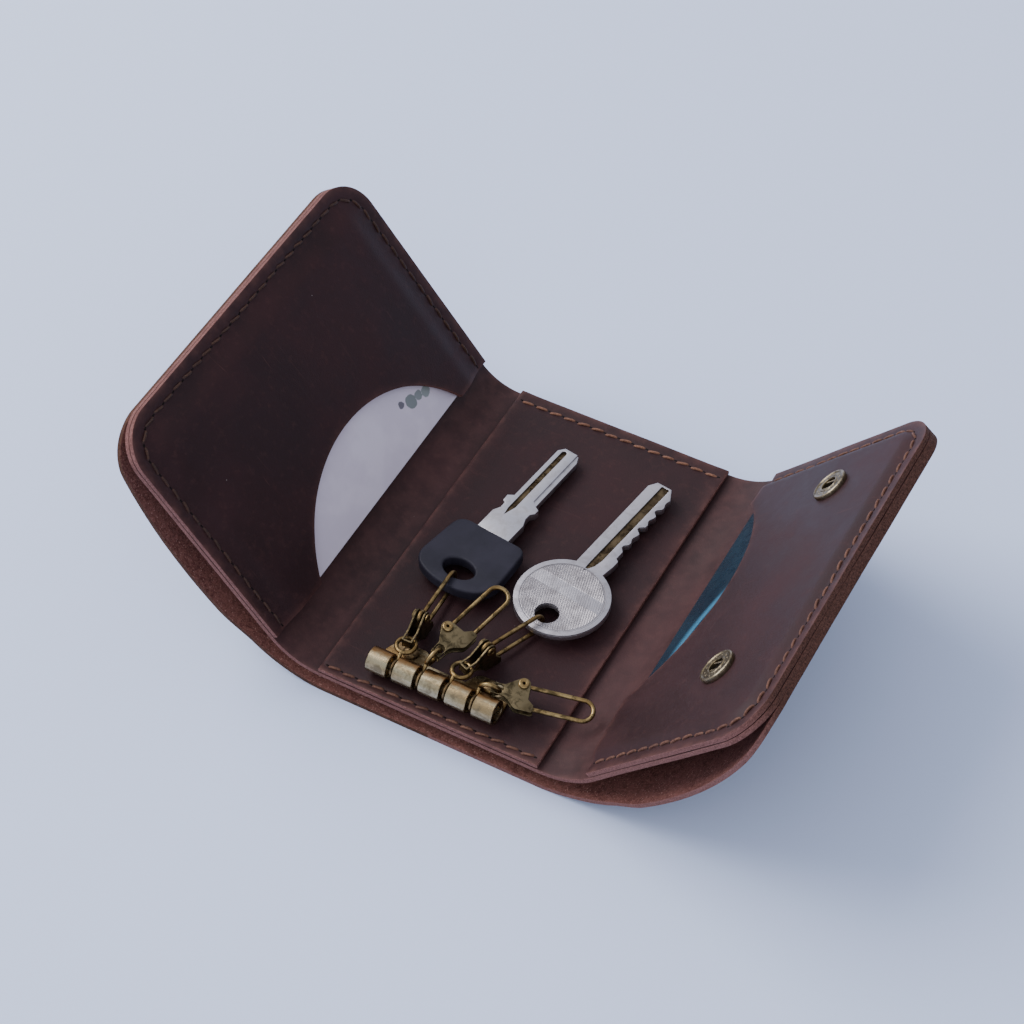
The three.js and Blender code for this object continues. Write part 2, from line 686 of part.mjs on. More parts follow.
/** The height just under a flap's cover that clears it all over a round piece. */
function underCover(flap, u, y, radius) {
  const around = [[-radius, -radius], [-radius, radius], [radius, -radius], [radius, radius]];
  const run = arcLength(flap) + u;
  return Math.min(...around.map(([du, dy]) => layers.cover.bottom(flap, run + du, y + dy))) - GAP;
}

const CAP_RADIUS = 5.2;
const STUD_RADIUS = 3.2;
const socketTop = POCKET_TOP + PILLOW + GAP;
SNAP.ys.forEach((y, i) => {
  const n = i + 1;
  add(rightFlap, `snap_socket_${n}`, socket(), bronze, [SNAP.from, y, socketTop]);
  const capTop = underCover(RIGHT, SNAP.from, y, CAP_RADIUS);
  add(rightFlap, `snap_cap_${n}`, cap(), bronze, [SNAP.from, y, capTop]);
  // the stud stands where the closed right flap brings its socket
  const open = new THREE.Vector3(SNAP.from, y, socketTop).applyMatrix4(rightFlap.matrixWorld);
  const closed = turned(open, rightHinge, RIGHT.tilt - 180);
  const onFlap = turned(closed, leftHinge, LEFT.tilt - 180).applyMatrix4(leftFlap.matrixWorld.clone().invert());
  const studTop = underCover(LEFT, -onFlap.x, y, STUD_RADIUS);
  add(leftFlap, `snap_stud_${n}`, stud(), bronze, [onFlap.x, y, studTop]);
});

export default object;
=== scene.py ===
"""Leather key organiser lying open: leather, stitching, hook bar, hooks, keys, cards and snap fasteners."""
import math
import random

import bmesh
import bpy
from mathutils import Matrix, Vector, noise


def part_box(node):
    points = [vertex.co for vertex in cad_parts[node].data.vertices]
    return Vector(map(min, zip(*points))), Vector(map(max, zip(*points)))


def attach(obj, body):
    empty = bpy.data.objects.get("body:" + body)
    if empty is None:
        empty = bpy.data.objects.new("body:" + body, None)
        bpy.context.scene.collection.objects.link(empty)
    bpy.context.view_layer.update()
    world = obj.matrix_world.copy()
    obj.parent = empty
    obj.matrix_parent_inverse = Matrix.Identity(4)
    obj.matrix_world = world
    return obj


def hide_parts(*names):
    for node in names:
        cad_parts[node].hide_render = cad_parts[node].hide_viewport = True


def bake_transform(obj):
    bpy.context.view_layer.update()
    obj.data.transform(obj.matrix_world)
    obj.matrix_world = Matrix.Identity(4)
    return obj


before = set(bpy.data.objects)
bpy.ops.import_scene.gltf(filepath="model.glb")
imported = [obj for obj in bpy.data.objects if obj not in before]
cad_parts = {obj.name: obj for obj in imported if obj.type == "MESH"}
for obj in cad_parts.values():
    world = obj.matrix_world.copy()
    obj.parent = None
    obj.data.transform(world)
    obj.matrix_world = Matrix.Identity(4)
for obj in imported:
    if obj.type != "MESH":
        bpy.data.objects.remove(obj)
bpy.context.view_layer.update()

MM = 0.001
random.seed(7)

# ---- driving dimensions, in millimetres

HALF = 50.0  # half the height along the folds
HALF_PANEL = 29.4
FACE = 8.8  # key panel's face above the table
LEATHER = 1.3
CORNER = 11.0
LINER_TOP = -1.6  # from the panel's face, as are all heights of the layers
COVER_TOP = -3.2
NOTE_GAP = 4.3  # the note pocket's depth at the centre, and its further bow under the flaps
NOTE_BOW = 28.0
OPEN_TO, SEAM_AT = 15.0, 47.0  # heights between which the note pocket closes
SEAM_CLOSED, SEAM_FREE = 1.2, 5.2  # distances from the edge between which cover and liner part
SEAM_GAP = 0.02
STITCH_INSET = 3.2
GROOVE = 0.2  # how far a seam presses the leather down
EDGE_ROUND = 0.3
WEAR_REACH = 1.1  # how far the pale rubbed edges reach inwards
SOCKETS = ((33.5, 32), (33.5, -27))  # snap sockets on the right flap


class Flap:
    """One flap. Its fold turns by tilt degrees with the radius bend. rim is where its pocket starts to swell."""

    def __init__(self, name, side, tilt, bend, width, notch_depth, notch_radius, notch_at, rim):
        self.name, self.side, self.bend, self.width, self.rim = name, side, bend, width, rim
        self.tilt, self.angle = tilt, math.radians(tilt)
        self.notch_depth, self.notch_radius, self.notch_at = notch_depth, notch_radius, notch_at
        self.arc = self.angle * bend
        self.origin_x = HALF_PANEL + bend * math.sin(self.angle)
        self.origin_z = FACE + bend * (1 - math.cos(self.angle))

    def matrix(self):
        """The flap's own frame, in metres, with x outwards times side and +z towards its inner face."""
        return shift(self.side * self.origin_x, 0, self.origin_z) @ turned(("Y", -self.side * self.tilt))


def linked(name, data):
    obj = bpy.data.objects.new(name, data)
    bpy.context.scene.collection.objects.link(obj)
    return obj


def shift(x, y, z):
    return Matrix.Translation(Vector((x, y, z)) * MM)


def turned(*steps):
    """A rotation about one local axis after another, each given as an axis and degrees."""
    made = Matrix.Identity(4)
    for axis, degrees in steps:
        made @= Matrix.Rotation(math.radians(degrees), 4, axis)
    return made


LEFT = Flap("left", -1, tilt=54, bend=12.9, width=63.5, notch_depth=21, notch_radius=38, notch_at=2,
            rim=(3.6, 10.5))
RIGHT = Flap("right", 1, tilt=48.2, bend=16.5, width=58.5, notch_depth=14.8, notch_radius=44.2, notch_at=4.5,
             rim=(2.6, 6.4))


def smooth(low, high, x):
    t = min(max((x - low) / (high - low), 0.0), 1.0)
    return t * t * (3 - 2 * t)


def leather_point(flap, run, v, n):
    """A point at a run outwards from the key panel's edge, a height v and an offset n from its face."""
    if run <= 0:
        return flap.side * (HALF_PANEL + run), v, FACE + n
    if run < flap.arc:
        turn = run / flap.bend
        reach = flap.bend - n
        return flap.side * (HALF_PANEL + reach * math.sin(turn)), v, FACE + flap.bend - reach * math.cos(turn)
    u = run - flap.arc
    c, s = math.cos(flap.angle), math.sin(flap.angle)
    return flap.side * (flap.origin_x + u * c - n * s), v, flap.origin_z + u * s + n * c


def note_depth(flap, run, v):
    """How far the cover hangs away to form the note pocket, which opens on the near side."""
    open_share = 1 - smooth(OPEN_TO, SEAM_AT, v)
    t = min(max(run / (flap.arc + flap.width), 0.0), 1.0)
    return open_share * (1 - t) * (NOTE_GAP + NOTE_BOW * t * smooth(0, 0.3, t))


def outer_edge(flap, v):
    """Distance from the fold to the flap's outer edge, with its round corners."""
    over = abs(v) - (HALF - CORNER)
    if over <= 0:
        return flap.width
    return flap.width - CORNER + math.sqrt(max(CORNER ** 2 - over ** 2, 0))


def inset(flap, u, v):
    """Distance inwards from a flap's three outer sides."""
    qx, qy = u - (flap.width - CORNER), abs(v) - (HALF - CORNER)
    if qx > 0 and qy > 0:
        return CORNER - math.hypot(qx, qy)
    return min(flap.width - u, HALF - abs(v))


def undulation(x, y, seed, size=18.0, depth=0.12):
    return depth * noise.noise(Vector((x / size, y / size, seed)))


def layer_wave(flap, run, v, seed):
    """A layer's slight unevenness, which fades out on the centre, where its two halves meet."""
    return undulation(flap.side * run, v, seed) * smooth(0, 4, run)


def liner_top(flap, run, v):
    return LINER_TOP + layer_wave(flap, run, v, 8.4)


def cover_top(flap, run, v):
    """The cover hangs free under the liner, and meets it where the two are sewn together."""
    outer = flap.arc + outer_edge(flap, v) - run
    sewn = 1 - smooth(SEAM_CLOSED, SEAM_FREE, min(outer, HALF - v))
    sewn *= smooth(2 - HALF, CORNER + 6 - HALF, v)
    free = COVER_TOP - note_depth(flap, run, v) + layer_wave(flap, run, v, 3.1)
    return free + (liner_top(flap, run, v) - LEATHER - SEAM_GAP - free) * sewn


def cover_bottom(flap, run, v):
    return cover_top(flap, run, v) - LEATHER


# ---- materials

class Look:
    """A procedural material, with short calls for the nodes it is made of."""

    def __init__(self, name, roughness=0.5, metallic=0.0, specular=0.5):
        self.mat = bpy.data.materials.new(name)
        self.mat.use_nodes = True
        self.tree = self.mat.node_tree
        self.shader = self.tree.nodes["Principled BSDF"]
        for key, value in (("Metallic", metallic), ("Roughness", roughness), ("Specular IOR Level", specular)):
            self.shader.inputs[key].default_value = value
        self.coords = self.node("ShaderNodeTexCoord").outputs["Object"]

    def put(self, socket, value):
        if isinstance(value, bpy.types.NodeSocket):
            self.tree.links.new(value, socket)
        else:
            socket.default_value = value

    def node(self, kind, inputs=(), **props):
        made = self.tree.nodes.new(kind)
        for key, value in props.items():
            setattr(made, key, value)
        for key, value in dict(inputs).items():
            self.put(made.inputs[key], value)
        return made

    def stretched(self, scale, rotation=(0, 0, 0)):
        inputs = {"Vector": self.coords, "Scale": scale, "Rotation": rotation}
        return self.node("ShaderNodeMapping", inputs).outputs[0]

    def noise(self, scale, detail=4.0, roughness=0.55, distortion=0.0, vector=None):
        inputs = {"Vector": vector or self.coords, "Scale": scale, "Detail": detail,
                  "Roughness": roughness, "Distortion": distortion}
        return self.node("ShaderNodeTexNoise", inputs).outputs["Fac"]

    def cells(self, scale):
        return self.node("ShaderNodeTexVoronoi", {"Vector": self.coords, "Scale": scale}).outputs["Distance"]

    def axis(self, name):
        return self.node("ShaderNodeSeparateXYZ", {0: self.coords}).outputs[name]

    def away_from(self, x, y, z):
        """Distance from a point, which is given in millimetres."""
        inputs = {0: self.coords, 1: (x * MM, y * MM, z * MM)}
        return self.node("ShaderNodeVectorMath", inputs, operation="DISTANCE").outputs["Value"]

    def math(self, operation, a, b=0.0, clamp=False):
        made = self.node("ShaderNodeMath", operation=operation, use_clamp=clamp)
        self.put(made.inputs[0], a)
        self.put(made.inputs[1], b)
        return made.outputs[0]

    def times(self, a, b):
        return self.math("MULTIPLY", a, b)

    def span(self, value, low, high, to_low=0.0, to_high=1.0):
        inputs = {"Value": value, "From Min": low, "From Max": high, "To Min": to_low, "To Max": to_high}
        return self.node("ShaderNodeMapRange", inputs, interpolation_type="SMOOTHSTEP").outputs[0]

    def mix(self, factor, a, b):
        made = self.node("ShaderNodeMix", data_type="RGBA", blend_type="MIX")
        self.put(made.inputs[0], factor)
        for socket, value in ((made.inputs[6], a), (made.inputs[7], b)):
            self.put(socket, value if isinstance(value, bpy.types.NodeSocket) else (*value, 1))
        return made.outputs[2]

    def attribute(self, name):
        return self.node("ShaderNodeAttribute", attribute_name=name).outputs["Fac"]

    def pointiness(self):
        return self.node("ShaderNodeNewGeometry").outputs["Pointiness"]

    def bump(self, height, distance, strength=1.0, normal=None):
        inputs = {"Height": height, "Distance": distance, "Strength": strength}
        if normal:
            inputs["Normal"] = normal
        return self.node("ShaderNodeBump", inputs).outputs[0]

    def finish(self, color, roughness=None, normal=None):
        self.put(self.shader.inputs["Base Color"], color)
        if roughness is not None:
            self.put(self.shader.inputs["Roughness"], roughness)
        if normal is not None:
            self.put(self.shader.inputs["Normal"], normal)
        return self.mat


DUST = (0.35, 0.30, 0.30)
# Orange painted over the hook bar's tubes towards their top: a painted warm highlight.
PAINTED_WARM_HIGHLIGHT = (0.24, 0.10, 0.024)


def smooth_leather(name, dark, mid, light):
    """Waxed pull-up leather: cloudy colour, pale rubbed edges, fine scratches, dust and a tight pore grain."""
    k = Look(name, specular=0.24)
    cloud = k.noise(42, 5, 0.6, 0.4)
    fine = k.noise(520, 4, 0.6)
    color = k.mix(k.span(cloud, 0.32, 0.7), dark, mid)
    color = k.mix(k.span(fine, 0.5, 0.8, 0, 0.14), color, light)
    scratch = k.noise(1, 3, 0.5, 0.6, k.stretched((60, 900, 300), (0.2, 0.3, 0.9)))
    marks = k.span(scratch, 0.67, 0.8, 0, 0.24)
    color = k.mix(marks, color, light)
    rubbed = k.times(k.attribute("edge"), k.span(k.noise(260, 3), 0.25, 0.7, 0.12, 0.75))
    color = k.mix(rubbed, color, light)
    dust = k.times(k.span(k.cells(150), 0.012, 0.026, 1, 0), k.span(k.noise(70, 2), 0.5, 0.56))
    color = k.mix(k.times(dust, 0.55), color, DUST)
    rough = k.math("ADD", k.span(cloud, 0.25, 0.75, 0.44, 0.6), k.times(fine, 0.12))
    pores = k.span(k.cells(2300), 0.05, 0.55)
    creases = k.noise(900, 5, 0.65, 0.8)
    normal = k.bump(pores, 0.00003, 0.55)
    normal = k.bump(creases, 0.00008, 0.5, normal)
    normal = k.bump(cloud, 0.0006, 0.35, normal)
    return k.finish(color, rough, normal)


def suede(name, dark, mid, light):
    """The flesh side: matt short fibres with pale specks."""
    k = Look(name, 0.95, specular=0.12)
    fibres = k.noise(1300, 6, 0.75, 1.2)
    patches = k.noise(120, 4, 0.6)
    color = k.mix(k.span(fibres, 0.35, 0.65), dark, mid)
    color = k.mix(k.span(patches, 0.4, 0.7, 0, 0.4), color, mid)
    specks = k.span(k.noise(2600, 2, 0.5), 0.62, 0.72, 0, 0.8)
    color = k.mix(specks, color, light)
    return k.finish(color, None, k.bump(fibres, 0.0003, 0.9))


def plain_grain(name, dark, light, scale, distance, roughness=0.85, specular=0.2, stretch=(1, 1, 1)):
    """A matt fibrous material, such as a cut leather edge or thread."""
    k = Look(name, roughness, specular=specular)
    where = k.stretched(stretch)
    fibres = k.noise(scale, 5, 0.7, 0.8, where)
    color = k.mix(k.span(fibres, 0.3, 0.7), dark, light)
    color = k.mix(k.span(k.noise(140, 4, 0.65), 0.45, 0.7, 0, 0.55), color, dark)
    return k.finish(color, None, k.bump(fibres, distance, 0.8))


def edge_grain(name, near, away):
    """A cut edge that is paler along the near side than along the other sides."""
    k = Look(name, 0.9, specular=0.15)
    fibres = k.noise(2600, 5, 0.7, 0.8)
    at = k.math("ADD", k.axis("Y"), k.times(k.noise(300, 3), 0.006))
    share = k.span(at, -0.046, -0.036)
    color = k.mix(k.span(fibres, 0.3, 0.7), k.mix(share, near[0], away[0]), k.mix(share, near[1], away[1]))
    return k.finish(color, None, k.bump(fibres, 0.00012, 0.8))


def antique_metal(name, bright, warm, dark, roughness=(0.26, 0.5), streak=(1, 1, 1), highlight_span=None):
    """Plated metal, dark in its hollows and rubbed bright on its edges.
    The last argument is a span of Y, in millimetres, over which the hook bar's tubes turn orange towards their
    top and far side: a painted warm highlight."""
    k = Look(name, metallic=1.0)
    stain = k.noise(480, 5, 0.65, 0.6)
    tone = k.noise(160, 3, 0.5, 0.0, k.stretched(streak))
    color = k.mix(k.span(tone, 0.35, 0.65), warm, bright)
    hollow = k.span(k.pointiness(), 0.44, 0.5, 1, 0)
    patina = k.math("MAXIMUM", hollow, k.span(stain, 0.45, 0.64, 0, 0.8), clamp=True)
    color = k.mix(patina, color, dark)
    rubbed = k.span(k.pointiness(), 0.53, 0.62, 0, 0.7)
    color = k.mix(rubbed, color, bright)
    # Painted warm highlight: orange towards the tubes' top and far side, with a ragged edge.
    if highlight_span:
        ragged = k.times(k.math("SUBTRACT", k.noise(520, 4, 0.6), 0.5), 0.004)
        at = k.math("ADD", k.axis("Y"), ragged)
        share = k.times(k.span(at, highlight_span[0] * MM, highlight_span[1] * MM, 0, 0.75),
                       k.span(k.axis("Z"), 11 * MM, 13 * MM, 0.25, 1))
        color = k.mix(share, color, PAINTED_WARM_HIGHLIGHT)
    rough = k.span(stain, 0.3, 0.7, *roughness)
    scuffs = k.noise(1500, 4, 0.6)
    return k.finish(color, rough, k.bump(scuffs, 0.00004, 0.5))


PULL_UP_LIGHT = (0.13, 0.052, 0.042)
PALE_EDGE = (0.27, 0.125, 0.108)
outer_leather = smooth_leather("outer_leather", (0.023, 0.0072, 0.0076), (0.041, 0.0132, 0.0137), PULL_UP_LIGHT)
pocket_leather = smooth_leather("pocket_leather", (0.0205, 0.0063, 0.0074), (0.034, 0.0106, 0.0120),
                                PULL_UP_LIGHT)
liner_leather = smooth_leather("liner_leather", (0.025, 0.0088, 0.0092), (0.046, 0.0168, 0.0176),
                               (0.12, 0.050, 0.044))
flesh_side = suede("flesh_side", (0.085, 0.031, 0.026), (0.27, 0.112, 0.090), (0.55, 0.31, 0.25))
cut_edge = plain_grain("cut_edge", (0.085, 0.034, 0.028), PALE_EDGE, 2600, 0.00012, 0.9, 0.15)
dark_edge = plain_grain("dark_edge", (0.03, 0.013, 0.009), (0.13, 0.058, 0.036), 2600, 0.00012, 0.9, 0.15)
brown_edge = edge_grain("brown_edge", ((0.09, 0.036, 0.030), PALE_EDGE),
                        ((0.026, 0.011, 0.008), (0.14, 0.062, 0.045)))
# Near-black plugs for the stitch holes and the snap sockets' wells: painted shade where the holes look dark.
painted_hole_shade = plain_grain("painted_shade_in_holes", (0.004, 0.002, 0.002), (0.012, 0.006, 0.005), 1800, 0.0001)


def thread(name, dark, light, specular=0.35):
    """A waxed thread, with the near-black painted shade of its holes."""
    return plain_grain(name, dark, light, 2600, 0.0001, 0.6, specular), painted_hole_shade


PALE_THREAD = thread("waxed_thread", (0.10, 0.038, 0.021), (0.31, 0.138, 0.078))
DARK_THREAD = thread("dark_thread", (0.022, 0.009, 0.006), (0.085, 0.034, 0.018))
BROWN_THREAD = thread("brown_thread", (0.055, 0.020, 0.012), (0.19, 0.082, 0.050), 0.3)

brass = antique_metal("antique_brass", (0.36, 0.25, 0.11), (0.22, 0.135, 0.05), (0.035, 0.026, 0.013))
# The hook bar's brass, with an orange painted highlight on its tubes' upper far side.
bar_brass = antique_metal("bar_brass", (0.42, 0.355, 0.225), (0.30, 0.19, 0.08), (0.05, 0.030, 0.013),
                          (0.22, 0.40), (0.35, 2.2, 2.2), highlight_span=(-44.6, -42.6))
clip_brass = antique_metal("clip_brass", (0.19, 0.145, 0.078), (0.105, 0.076, 0.038), (0.020, 0.016, 0.009),
                           (0.3, 0.55))
snap_brass = antique_metal("snap_brass", (0.34, 0.28, 0.19), (0.22, 0.165, 0.09), (0.05, 0.04, 0.026),
                           (0.3, 0.5))
dark_metal = antique_metal("dark_brass", (0.26, 0.18, 0.09), (0.14, 0.09, 0.045), (0.03, 0.02, 0.012),
                           (0.35, 0.6))


# ---- mesh helpers

def new_object(name, mesh, body, materials, matrix=None, replaced=()):
    """Links a visible piece into the scene, puts it on its body and hides the CAD nodes that it replaces."""
    obj = linked(name, mesh)
    for material in materials:
        mesh.materials.append(material)
    if matrix is not None:
        obj.matrix_world = matrix
    if body:
        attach(obj, body)
    if replaced:
        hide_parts(*replaced)
    return obj


def evaluated_mesh(obj):
    graph = bpy.context.evaluated_depsgraph_get()
    graph.update()
    return bpy.data.meshes.new_from_object(
        obj.evaluated_get(graph), preserve_all_data_layers=True, depsgraph=graph)


def write_mesh(shell, mesh, merge=0.0, recalc=True):
    """Cleans a bmesh, writes it to a mesh and frees it."""
    if merge:
        bmesh.ops.remove_doubles(shell, verts=shell.verts, dist=merge)
    if recalc:
        bmesh.ops.recalc_face_normals(shell, faces=shell.faces)
    shell.to_mesh(mesh)
    shell.free()
    return mesh


def shade(mesh, angle=35):
    mesh.polygons.foreach_set("use_smooth", [True] * len(mesh.polygons))
    mesh.set_sharp_from_angle(angle=math.radians(angle))


def thick_sheet(name, rows, stations, top, place, edge, caps=(1, 1), lowest=None):
    """A closed sheet over a grid of rows and stations, with weights on its cut edges for round_edges.
    Its materials are those of the top, the bottom and the edge. caps says which ends of a row are cut edges.
    The underside lies a leather's thickness below the top, or flat at lowest where that is lower."""
    def bottom(u, v):
        low = top(u, v) - LEATHER
        return low if lowest is None else min(low, lowest)

    verts, faces, kinds, worn = [], [], [], []
    for face in (top, bottom):
        for v in rows:
            for u in stations(v):
                verts.append(Vector(place(u, v, face(u, v))) * MM)
                worn.append(edge(u, v))
    width = len(stations(rows[0]))
    height = len(rows)
    base = width * height

    def at(layer, i, j):
        return layer * base + i * width + j

    for i in range(height - 1):
        for j in range(width - 1):
            faces.append((at(0, i, j), at(0, i, j + 1), at(0, i + 1, j + 1), at(0, i + 1, j)))
            faces.append((at(1, i, j), at(1, i + 1, j), at(1, i + 1, j + 1), at(1, i, j + 1)))
            kinds += [0, 1]
    rim = []
    for i in range(height - 1):
        for j, capped in ((0, caps[0]), (width - 1, caps[1])):
            faces.append((at(0, i, j), at(0, i + 1, j), at(1, i + 1, j), at(1, i, j)))
            kinds.append(2)
            if capped:
                rim += [(at(k, i, j), at(k, i + 1, j)) for k in (0, 1)]
    for j in range(width - 1):
        for i in (0, height - 1):
            faces.append((at(0, i, j), at(1, i, j), at(1, i, j + 1), at(0, i, j + 1)))
            kinds.append(2)
            rim += [(at(k, i, j), at(k, i, j + 1)) for k in (0, 1)]
    mesh = bpy.data.meshes.new(name)
    mesh.from_pydata(verts, [], faces)
    mesh.polygons.foreach_set("material_index", kinds)
    mesh.attributes.new("edge", "FLOAT", "POINT").data.foreach_set("value", worn)
    weights = mesh.attributes.new("bevel_weight_edge", "FLOAT", "EDGE")
    rounded = {frozenset(pair) for pair in rim}
    for e in mesh.edges:
        weights.data[e.index].value = 1.0 if frozenset(e.vertices) in rounded else 0.0
    shell = bmesh.new()
    shell.from_mesh(mesh)
    return write_mesh(shell, mesh, 1e-7)


def round_edges(obj):
    bevel = obj.modifiers.new("round", "BEVEL")
    bevel.limit_method = "WEIGHT"
    bevel.width = EDGE_ROUND * MM
    bevel.segments = 3
    bevel.use_clamp_overlap = True
    made, old = evaluated_mesh(obj), obj.data
    obj.modifiers.clear()
    obj.data = made
    bpy.data.meshes.remove(old)
    shade(made)


def spread(low, high, step):
    """Even values from low to high, no more than about a step apart."""
    count = max(2, math.ceil((high - low) / step) + 1)
    return [low + (high - low) * i / (count - 1) for i in range(count)]


def corner_rows(step):
    """Rows along the folds, closer together round the corners."""
    rows = spread(-(HALF - CORNER), HALF - CORNER, step)
    for k in range(1, 19):
        v = HALF - CORNER + CORNER * math.sin(k / 18 * math.pi / 2)
        rows += [v, -v]
    return sorted(rows)


def fractions(count):
    return [i / (count - 1) for i in range(count)]


# ---- cover and liner, one half to each side

def leather_half(layer, layer_top, looks, flap):
    """One half of the cover or the liner, from the middle of the centre to the flap's outer edge."""
    def stations(v):
        far = flap.arc + outer_edge(flap, v)
        inner = spread(-HALF_PANEL, 0, 2.4)[:-1]
        fold = spread(0, flap.arc, 0.8)[:-1]
        return inner + fold + [flap.arc + (far - flap.arc) * s for s in fractions(52)]

    def top(run, v):
        return layer_top(flap, run, v)

    def place(run, v, n):
        return leather_point(flap, run, v, n)

    def worn(run, v):
        near = inset(flap, run - flap.arc, v) if run > flap.arc else HALF - abs(v)
        fold = smooth(0, 3, run) * (1 - smooth(flap.arc - 3, flap.arc + 2, run)) * 0.35
        return max(math.exp(-near / WEAR_REACH), fold)

    name = f"{layer}_leather_{flap.name}"
    mesh = thick_sheet(name, corner_rows(1.6), stations, top, place, worn, caps=(0, 1))
    piece = new_object(name, mesh, None, looks,
                       replaced=[f"{layer}_{flap.name}", f"{layer}_fold_{flap.name}", f"{layer}_center"])
    round_edges(piece)
    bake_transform(piece)


for flap, edge in ((LEFT, dark_edge), (RIGHT, brown_edge)):
    leather_half("cover", cover_top, (flesh_side, outer_leather, edge), flap)
for flap, edge in ((LEFT, cut_edge), (RIGHT, brown_edge)):
    leather_half("liner", liner_top, (liner_leather, flesh_side, edge), flap)

# ---- key panel

PANEL_SEAMS = (-HALF + 1.8, HALF - STITCH_INSET)


def panel_top(x, v):
    """The key panel's face: grooved along its seams, with its sides a little raised."""
    groove = sum(math.exp(-((v - at) / 0.75) ** 2) for at in PANEL_SEAMS) * GROOVE
    side_lift = 0.12 * smooth(24, HALF_PANEL, abs(x))
    return undulation(x, v, 5.5) - groove - 0.05 + side_lift


def panel_place(x, v, n):
    return x, v, FACE + n


def panel_edge(x, v):
    return math.exp(-min(HALF_PANEL - abs(x), HALF - abs(v)))


seam_rows = [at + d for at in PANEL_SEAMS for d in (-0.9, -0.45, 0.45, 0.9)]
mesh = thick_sheet(
    "key_panel_leather", sorted(set(spread(-HALF, HALF, 1.0) + seam_rows)),
    lambda v: spread(-HALF_PANEL, HALF_PANEL, 1.2), panel_top, panel_place, panel_edge, lowest=-1.35)
round_edges(new_object("key_panel_leather", mesh, "centre",
                       (pocket_leather, flesh_side, cut_edge), replaced=["key_panel"]))

# ---- card pockets

RIM_LEVEL, CARD_RISE, SWELL = -0.1, 1.1, 0.7  # a pocket's rim, its rise over the card and its further swell
SOCKET_DENT, SOCKET_REACH = 0.4, 6.5
NOTCH_GAP, RIM_BAND = 0.3, 8


def notch(flap, v):
    """How far the round notch cuts into the pocket's free edge at a height."""
    off = v - flap.notch_at
    reach = math.sqrt(max(flap.notch_radius ** 2 - off ** 2, 0))
    return max(reach - (flap.notch_radius - flap.notch_depth), 0)


def pocket_top(flap, u, v):
    """The pocket's face: pinched down at the sewn rim, swollen over the card."""
    d = inset(flap, u, v)
    rise = smooth(flap.rim[0], flap.rim[1], d)
    across = min(max((outer_edge(flap, v) - u) / (flap.width / 2), 0), 1)
    along = min(max((HALF - abs(v)) / (HALF / 2), 0), 1)
    face = RIM_LEVEL + rise * CARD_RISE + SWELL * across * along * rise
    face -= GROOVE * math.exp(-((d - STITCH_INSET) / 0.7) ** 2)
    if flap is RIGHT:
        for su, sv in SOCKETS:
            face -= SOCKET_DENT * math.exp(-(math.hypot(u - su, v - sv) / SOCKET_REACH) ** 2)
    return face + undulation(u * flap.side, v, 1.7 * flap.side, 14, 0.1)


def pocket_rows(flap):
    """Rows along the pocket, closer together at the notch's ends and round the corners."""
    half_chord = math.sqrt(flap.notch_radius ** 2 - (flap.notch_radius - flap.notch_depth) ** 2)
    rows = set(corner_rows(0.9))
    for k in range(0, 9):
        v = half_chord * math.cos(k / 8 * math.pi / 5)
        rows |= {flap.notch_at + v, flap.notch_at - v}
    kept = []
    for v in sorted(rows):
        if not kept or v - kept[-1] > 0.02:
            kept.append(v)
    return kept


def pocket(flap, edge_look):
    def stations(v):
        start = notch(flap, v) + NOTCH_GAP
        inner = outer_edge(flap, v) - RIM_BAND
        return ([start + (inner - start) * s for s in fractions(40)]
                + [inner + RIM_BAND * s for s in fractions(15)[1:]])

    def top(u, v):
        return pocket_top(flap, u, v)

    def place(u, v, n):
        return flap.side * u, v, n

    def worn(u, v):
        return math.exp(-min(inset(flap, u, v), (u - notch(flap, v)) * 1.5) / WEAR_REACH)

    name = f"{flap.name}_pocket_leather"
    mesh = thick_sheet(name, pocket_rows(flap), stations, top, place, worn)
    looks = (pocket_leather, flesh_side, edge_look)
    round_edges(new_object(name, mesh, f"{flap.name}_flap", looks,
                           matrix=flap.matrix(), replaced=[f"{flap.name}_pocket"]))


pocket(LEFT, cut_edge)
pocket(RIGHT, brown_edge)

# ---- stitching

PITCH = 4.0
THREAD = 0.34  # radius
HOLE = 0.42
SPAN, DIP = 0.86, 0.75  # the share of a pitch that a thread covers, and how far its ends go down
COVER_SINK = 0.24


def tube_into(shell, points, radius, sides, material=0):
    """Adds a round tube with closed ends through points to a bmesh."""
    count = len(points)
    up = Vector((0, 0, 1))
    rings = []
    side = None
    for i, p in enumerate(points):
        along = (points[min(i + 1, count - 1)] - points[max(i - 1, 0)]).normalized()
        if side is None:
            side = along.cross(up if abs(along.z) < 0.9 else Vector((0, 1, 0))).normalized()
        side = (side - along * side.dot(along)).normalized()
        other = along.cross(side)
        ring = []
        for k in range(sides):
            turn = 2 * math.pi * k / sides
            ring.append(shell.verts.new(p + (side * math.cos(turn) + other * math.sin(turn)) * radius))
        rings.append(ring)
    made = []
    for a, b in zip(rings, rings[1:]):
        for k in range(sides):
            made.append(shell.faces.new((a[k], a[(k + 1) % sides], b[(k + 1) % sides], b[k])))
    made.append(shell.faces.new(rings[0][::-1]))
    made.append(shell.faces.new(rings[-1]))
    for face in made:
        face.material_index = material
        face.smooth = True


def walk(path, pitch):
    """Points at equal steps along a polyline of (u, v)."""
    lengths = [math.dist(a, b) for a, b in zip(path, path[1:])]
    total = sum(lengths)
    count = max(1, round(total / pitch))
    found = []
    for k in range(count + 1):
        s = total * k / count
        i = 0
        while i < len(lengths) - 1 and s > lengths[i]:
            s -= lengths[i]
            i += 1
        t = s / lengths[i]
        found.append(tuple(a + (b - a) * t for a, b in zip(path[i], path[i + 1])))
    return found


